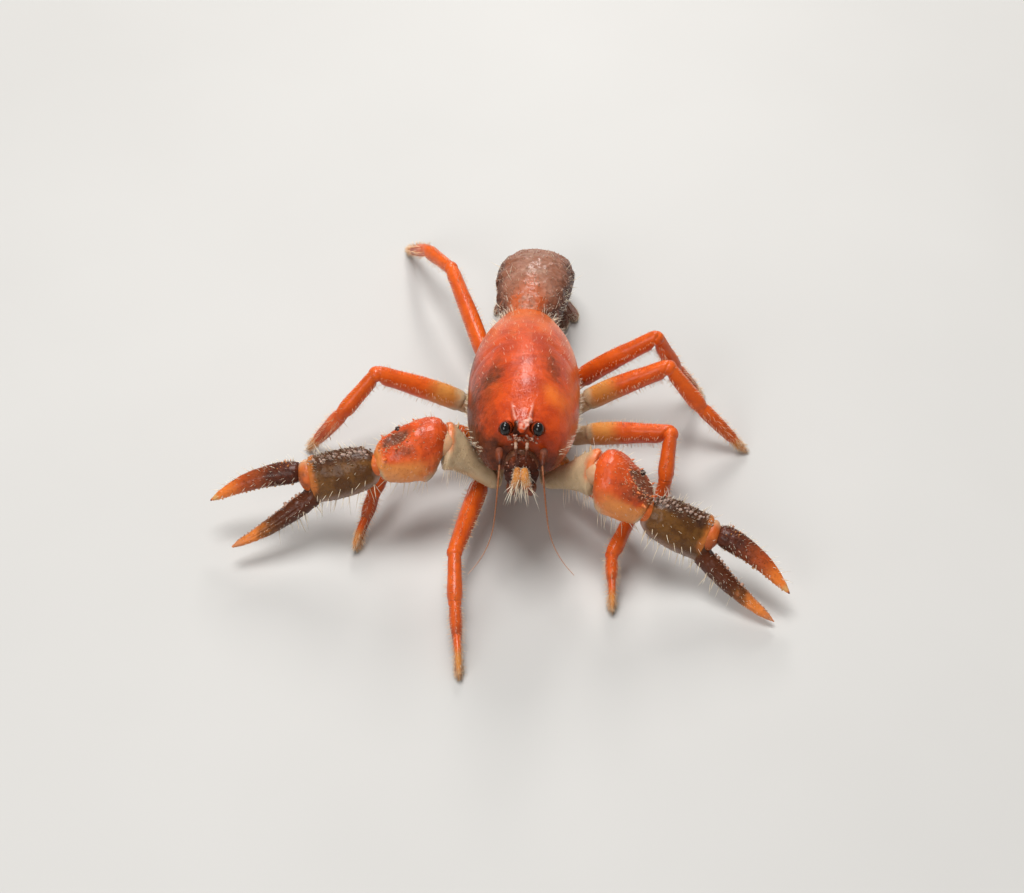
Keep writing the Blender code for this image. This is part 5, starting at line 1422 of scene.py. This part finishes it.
def make_claw(letter, skin, coat):
    """Ischium, merus, carpus, palm with the fixed finger, and moving finger."""
    joints = [from_body(CLAW_ROOT, SIDES[letter])]
    for length, yaw, rise in CLAW_POSES[letter][:4]:
        joints.append(joints[-1] + heading(yaw, rise) * length)
    ways = [unit(b - a) for a, b in zip(joints, joints[1:])]
    planes = [None, *(unit(a + b) for a, b in zip(ways, ways[1:])), None]
    lean = CLAW_LEAN[letter]
    palm_up = axes(ways[3], lean)[1]
    for i, (part, (rows, sides, look, slot, dress)) in enumerate(CLAW_PARTS.items()):
        start, end, up = joints[i], joints[i + 1], (UP, MERUS_UP, lean, lean)[i]
        before, after = planes[i:i + 2]
        gaps = (half_gap(ways[i], before), half_gap(ways[i], after))
        places = [row[0] for row in rows] if part == "palm" else None
        grid = stretch(start, end, rows, up, (before, after), gaps, sides, places=places)
        if part == "palm":
            line = (letter, 5, end - palm_up * FINGER_DROP, FIXED_BOW, FIXED_FINGER)
            keys = np.array([row[0] for row in FIXED_FINGER])
            finger = ovals(*finger_line(*line, keys), sides)
            grid = loft(np.concatenate((grid.points, finger)), [*places, *(1 + keys)])
        facing = None if before is None else -before
        piece = dress(Limb(letter, rows, start, end, up), grid, facing, after, coat)
        if part == "palm":
            keys = np.linspace(keys[0], 1, FINGER_STEPS)
            centres, sizes, _, lift = finger_line(*line, keys)
            add_teeth(piece, letter, "fixed", keys, centres, sizes, lift)
        piece.build(f"chela_{letter}_{part}", look, slot, f"claw_{letter}_{part}")
    add_moving_finger(letter, joints[4] + palm_up * FINGER_RISE + ways[3] * FINGER_START, coat)
    for joint, (size, pale) in zip(joints[1:4], CLAW_JOINTS):
        ball = sphere_grid(joint, size, 40, 24)
        ball.paint = {"pale": pale}
        skin.grid(ball)
    turn = np.column_stack((np.cross(ways[3], palm_up), ways[3], palm_up))
    ball = sphere_grid(joints[4] + palm_up * KNUCKLE_RISE + ways[3] * 0.1, KNUCKLE, 56, 36, turn)
    ball.push(0.06 * ball.rough(0.5, 66))
    ball.paint = {"pale": 0.5 * smooth(0.6, 1.0, ball.up_share()),
                  "dark": 0.15 + 0.45 * value_noise(ball.points, 0.7, 4)}
    skin.grid(ball)


def make_camera():
    rise = math.radians(CAMERA_RISE)
    ahead = np.array((0, math.cos(rise), -math.sin(rise)))
    up = np.array((0, math.sin(rise), math.cos(rise)))
    offset = np.array((CAMERA_PIXEL[0] - PHOTO_SIZE[0] / 2, PHOTO_SIZE[1] / 2 - CAMERA_PIXEL[1]))
    offset = offset / CAMERA_FOCAL * CAMERA_DISTANCE
    spot = np.array(CAMERA_ANCHOR) - ahead * CAMERA_DISTANCE
    spot = spot - np.array((1, 0, 0)) * offset[0] - up * offset[1]
    data = bpy.data.cameras.new("camera")
    data.sensor_width = SENSOR
    data.lens = SENSOR * CAMERA_FOCAL / PHOTO_SIZE[0]
    data.clip_start, data.clip_end = 0.01, 2.0
    camera = add_object("camera", data)
    camera.location = Vector(to_frame(spot))
    camera.rotation_euler = (math.radians(90 - CAMERA_RISE), 0, 0)
    bpy.context.scene.camera = camera


def add_light(name, place_at, size, power, colour=(1, 1, 1)):
    data = bpy.data.lights.new(name, "AREA")
    data.shape = "RECTANGLE"
    data.size, data.size_y = size
    data.energy = power
    data.color = colour
    lamp = add_object(name, data)
    lamp.location = place_at
    lamp.rotation_euler = (-Vector(place_at)).to_track_quat("-Z", "Y").to_euler()


def make_studio():
    """A plain pale floor, with soft light from behind, above and the front."""
    mesh = new_mesh("floor", np.array(((-1, -1, 0), (1, -1, 0), (1, 1, 0), (-1, 1, 0))), [(0, 1, 2, 3)])
    n = Nodes("floor")
    colour = n.mix(n.noise(40.0, 3.0), (0.50, 0.49, 0.47), (0.56, 0.55, 0.53))
    mesh.materials.append(n.finish(colour, 0.6))
    floor = add_object("floor", mesh)
    add_light("back_softbox", (0.02, 0.28, 0.20), (0.06, 0.12), 0.5, (1.0, 0.98, 0.96))
    add_light("top_softbox", (-0.03, 0.04, 0.34), (0.15, 0.15), 1.0)
    add_light("front_softbox", (-0.18, -0.26, 0.22), (0.2, 0.16), 0.45)
    world = bpy.data.worlds.new("studio")
    world.use_nodes = True
    background = world.node_tree.nodes["Background"]
    background.inputs["Color"].default_value = (1.0, 0.98, 0.95, 1)
    background.inputs["Strength"].default_value = 0.24
    bpy.context.scene.world = world
    bpy.context.scene.view_settings.view_transform = "Standard"


def main():
    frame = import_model()
    make_camera()
    make_studio()
    make_materials()
    body_coat, face_coat = Coat("coat_body", "bristle", 12), Coat("coat_face", "bristle", 2)
    make_carapace(body_coat)
    for letter, s in SIDES.items():
        make_eye(letter, s)
    make_mouth_plate()
    for letter, s in SIDES.items():
        make_antennae(letter, s)
        make_jaw(letter, s, face_coat)
    make_sternum(frame["nodes"]["sternum"])
    make_fan(make_abdomen(body_coat), body_coat)
    body_coat.build("shell_cream")
    face_coat.build("shell_cream")
    skin = Piece()
    add_mouth_flesh(skin)
    for letter in SIDES:
        leg_coat = Coat(f"coat_legs_{letter}", "fuzz", 16)
        for key in LEG_POSES:
            if key[0] == letter:
                make_leg(key, leg_coat)
        leg_coat.build("shell_cream")
        claw_coat = Coat(f"coat_claw_{letter}", "bristle", 6)
        make_claw(letter, skin, claw_coat)
        claw_coat.build("shell_cream")
    skin.build("joint_skin", "skin", "shell_orange")
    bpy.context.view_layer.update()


main()
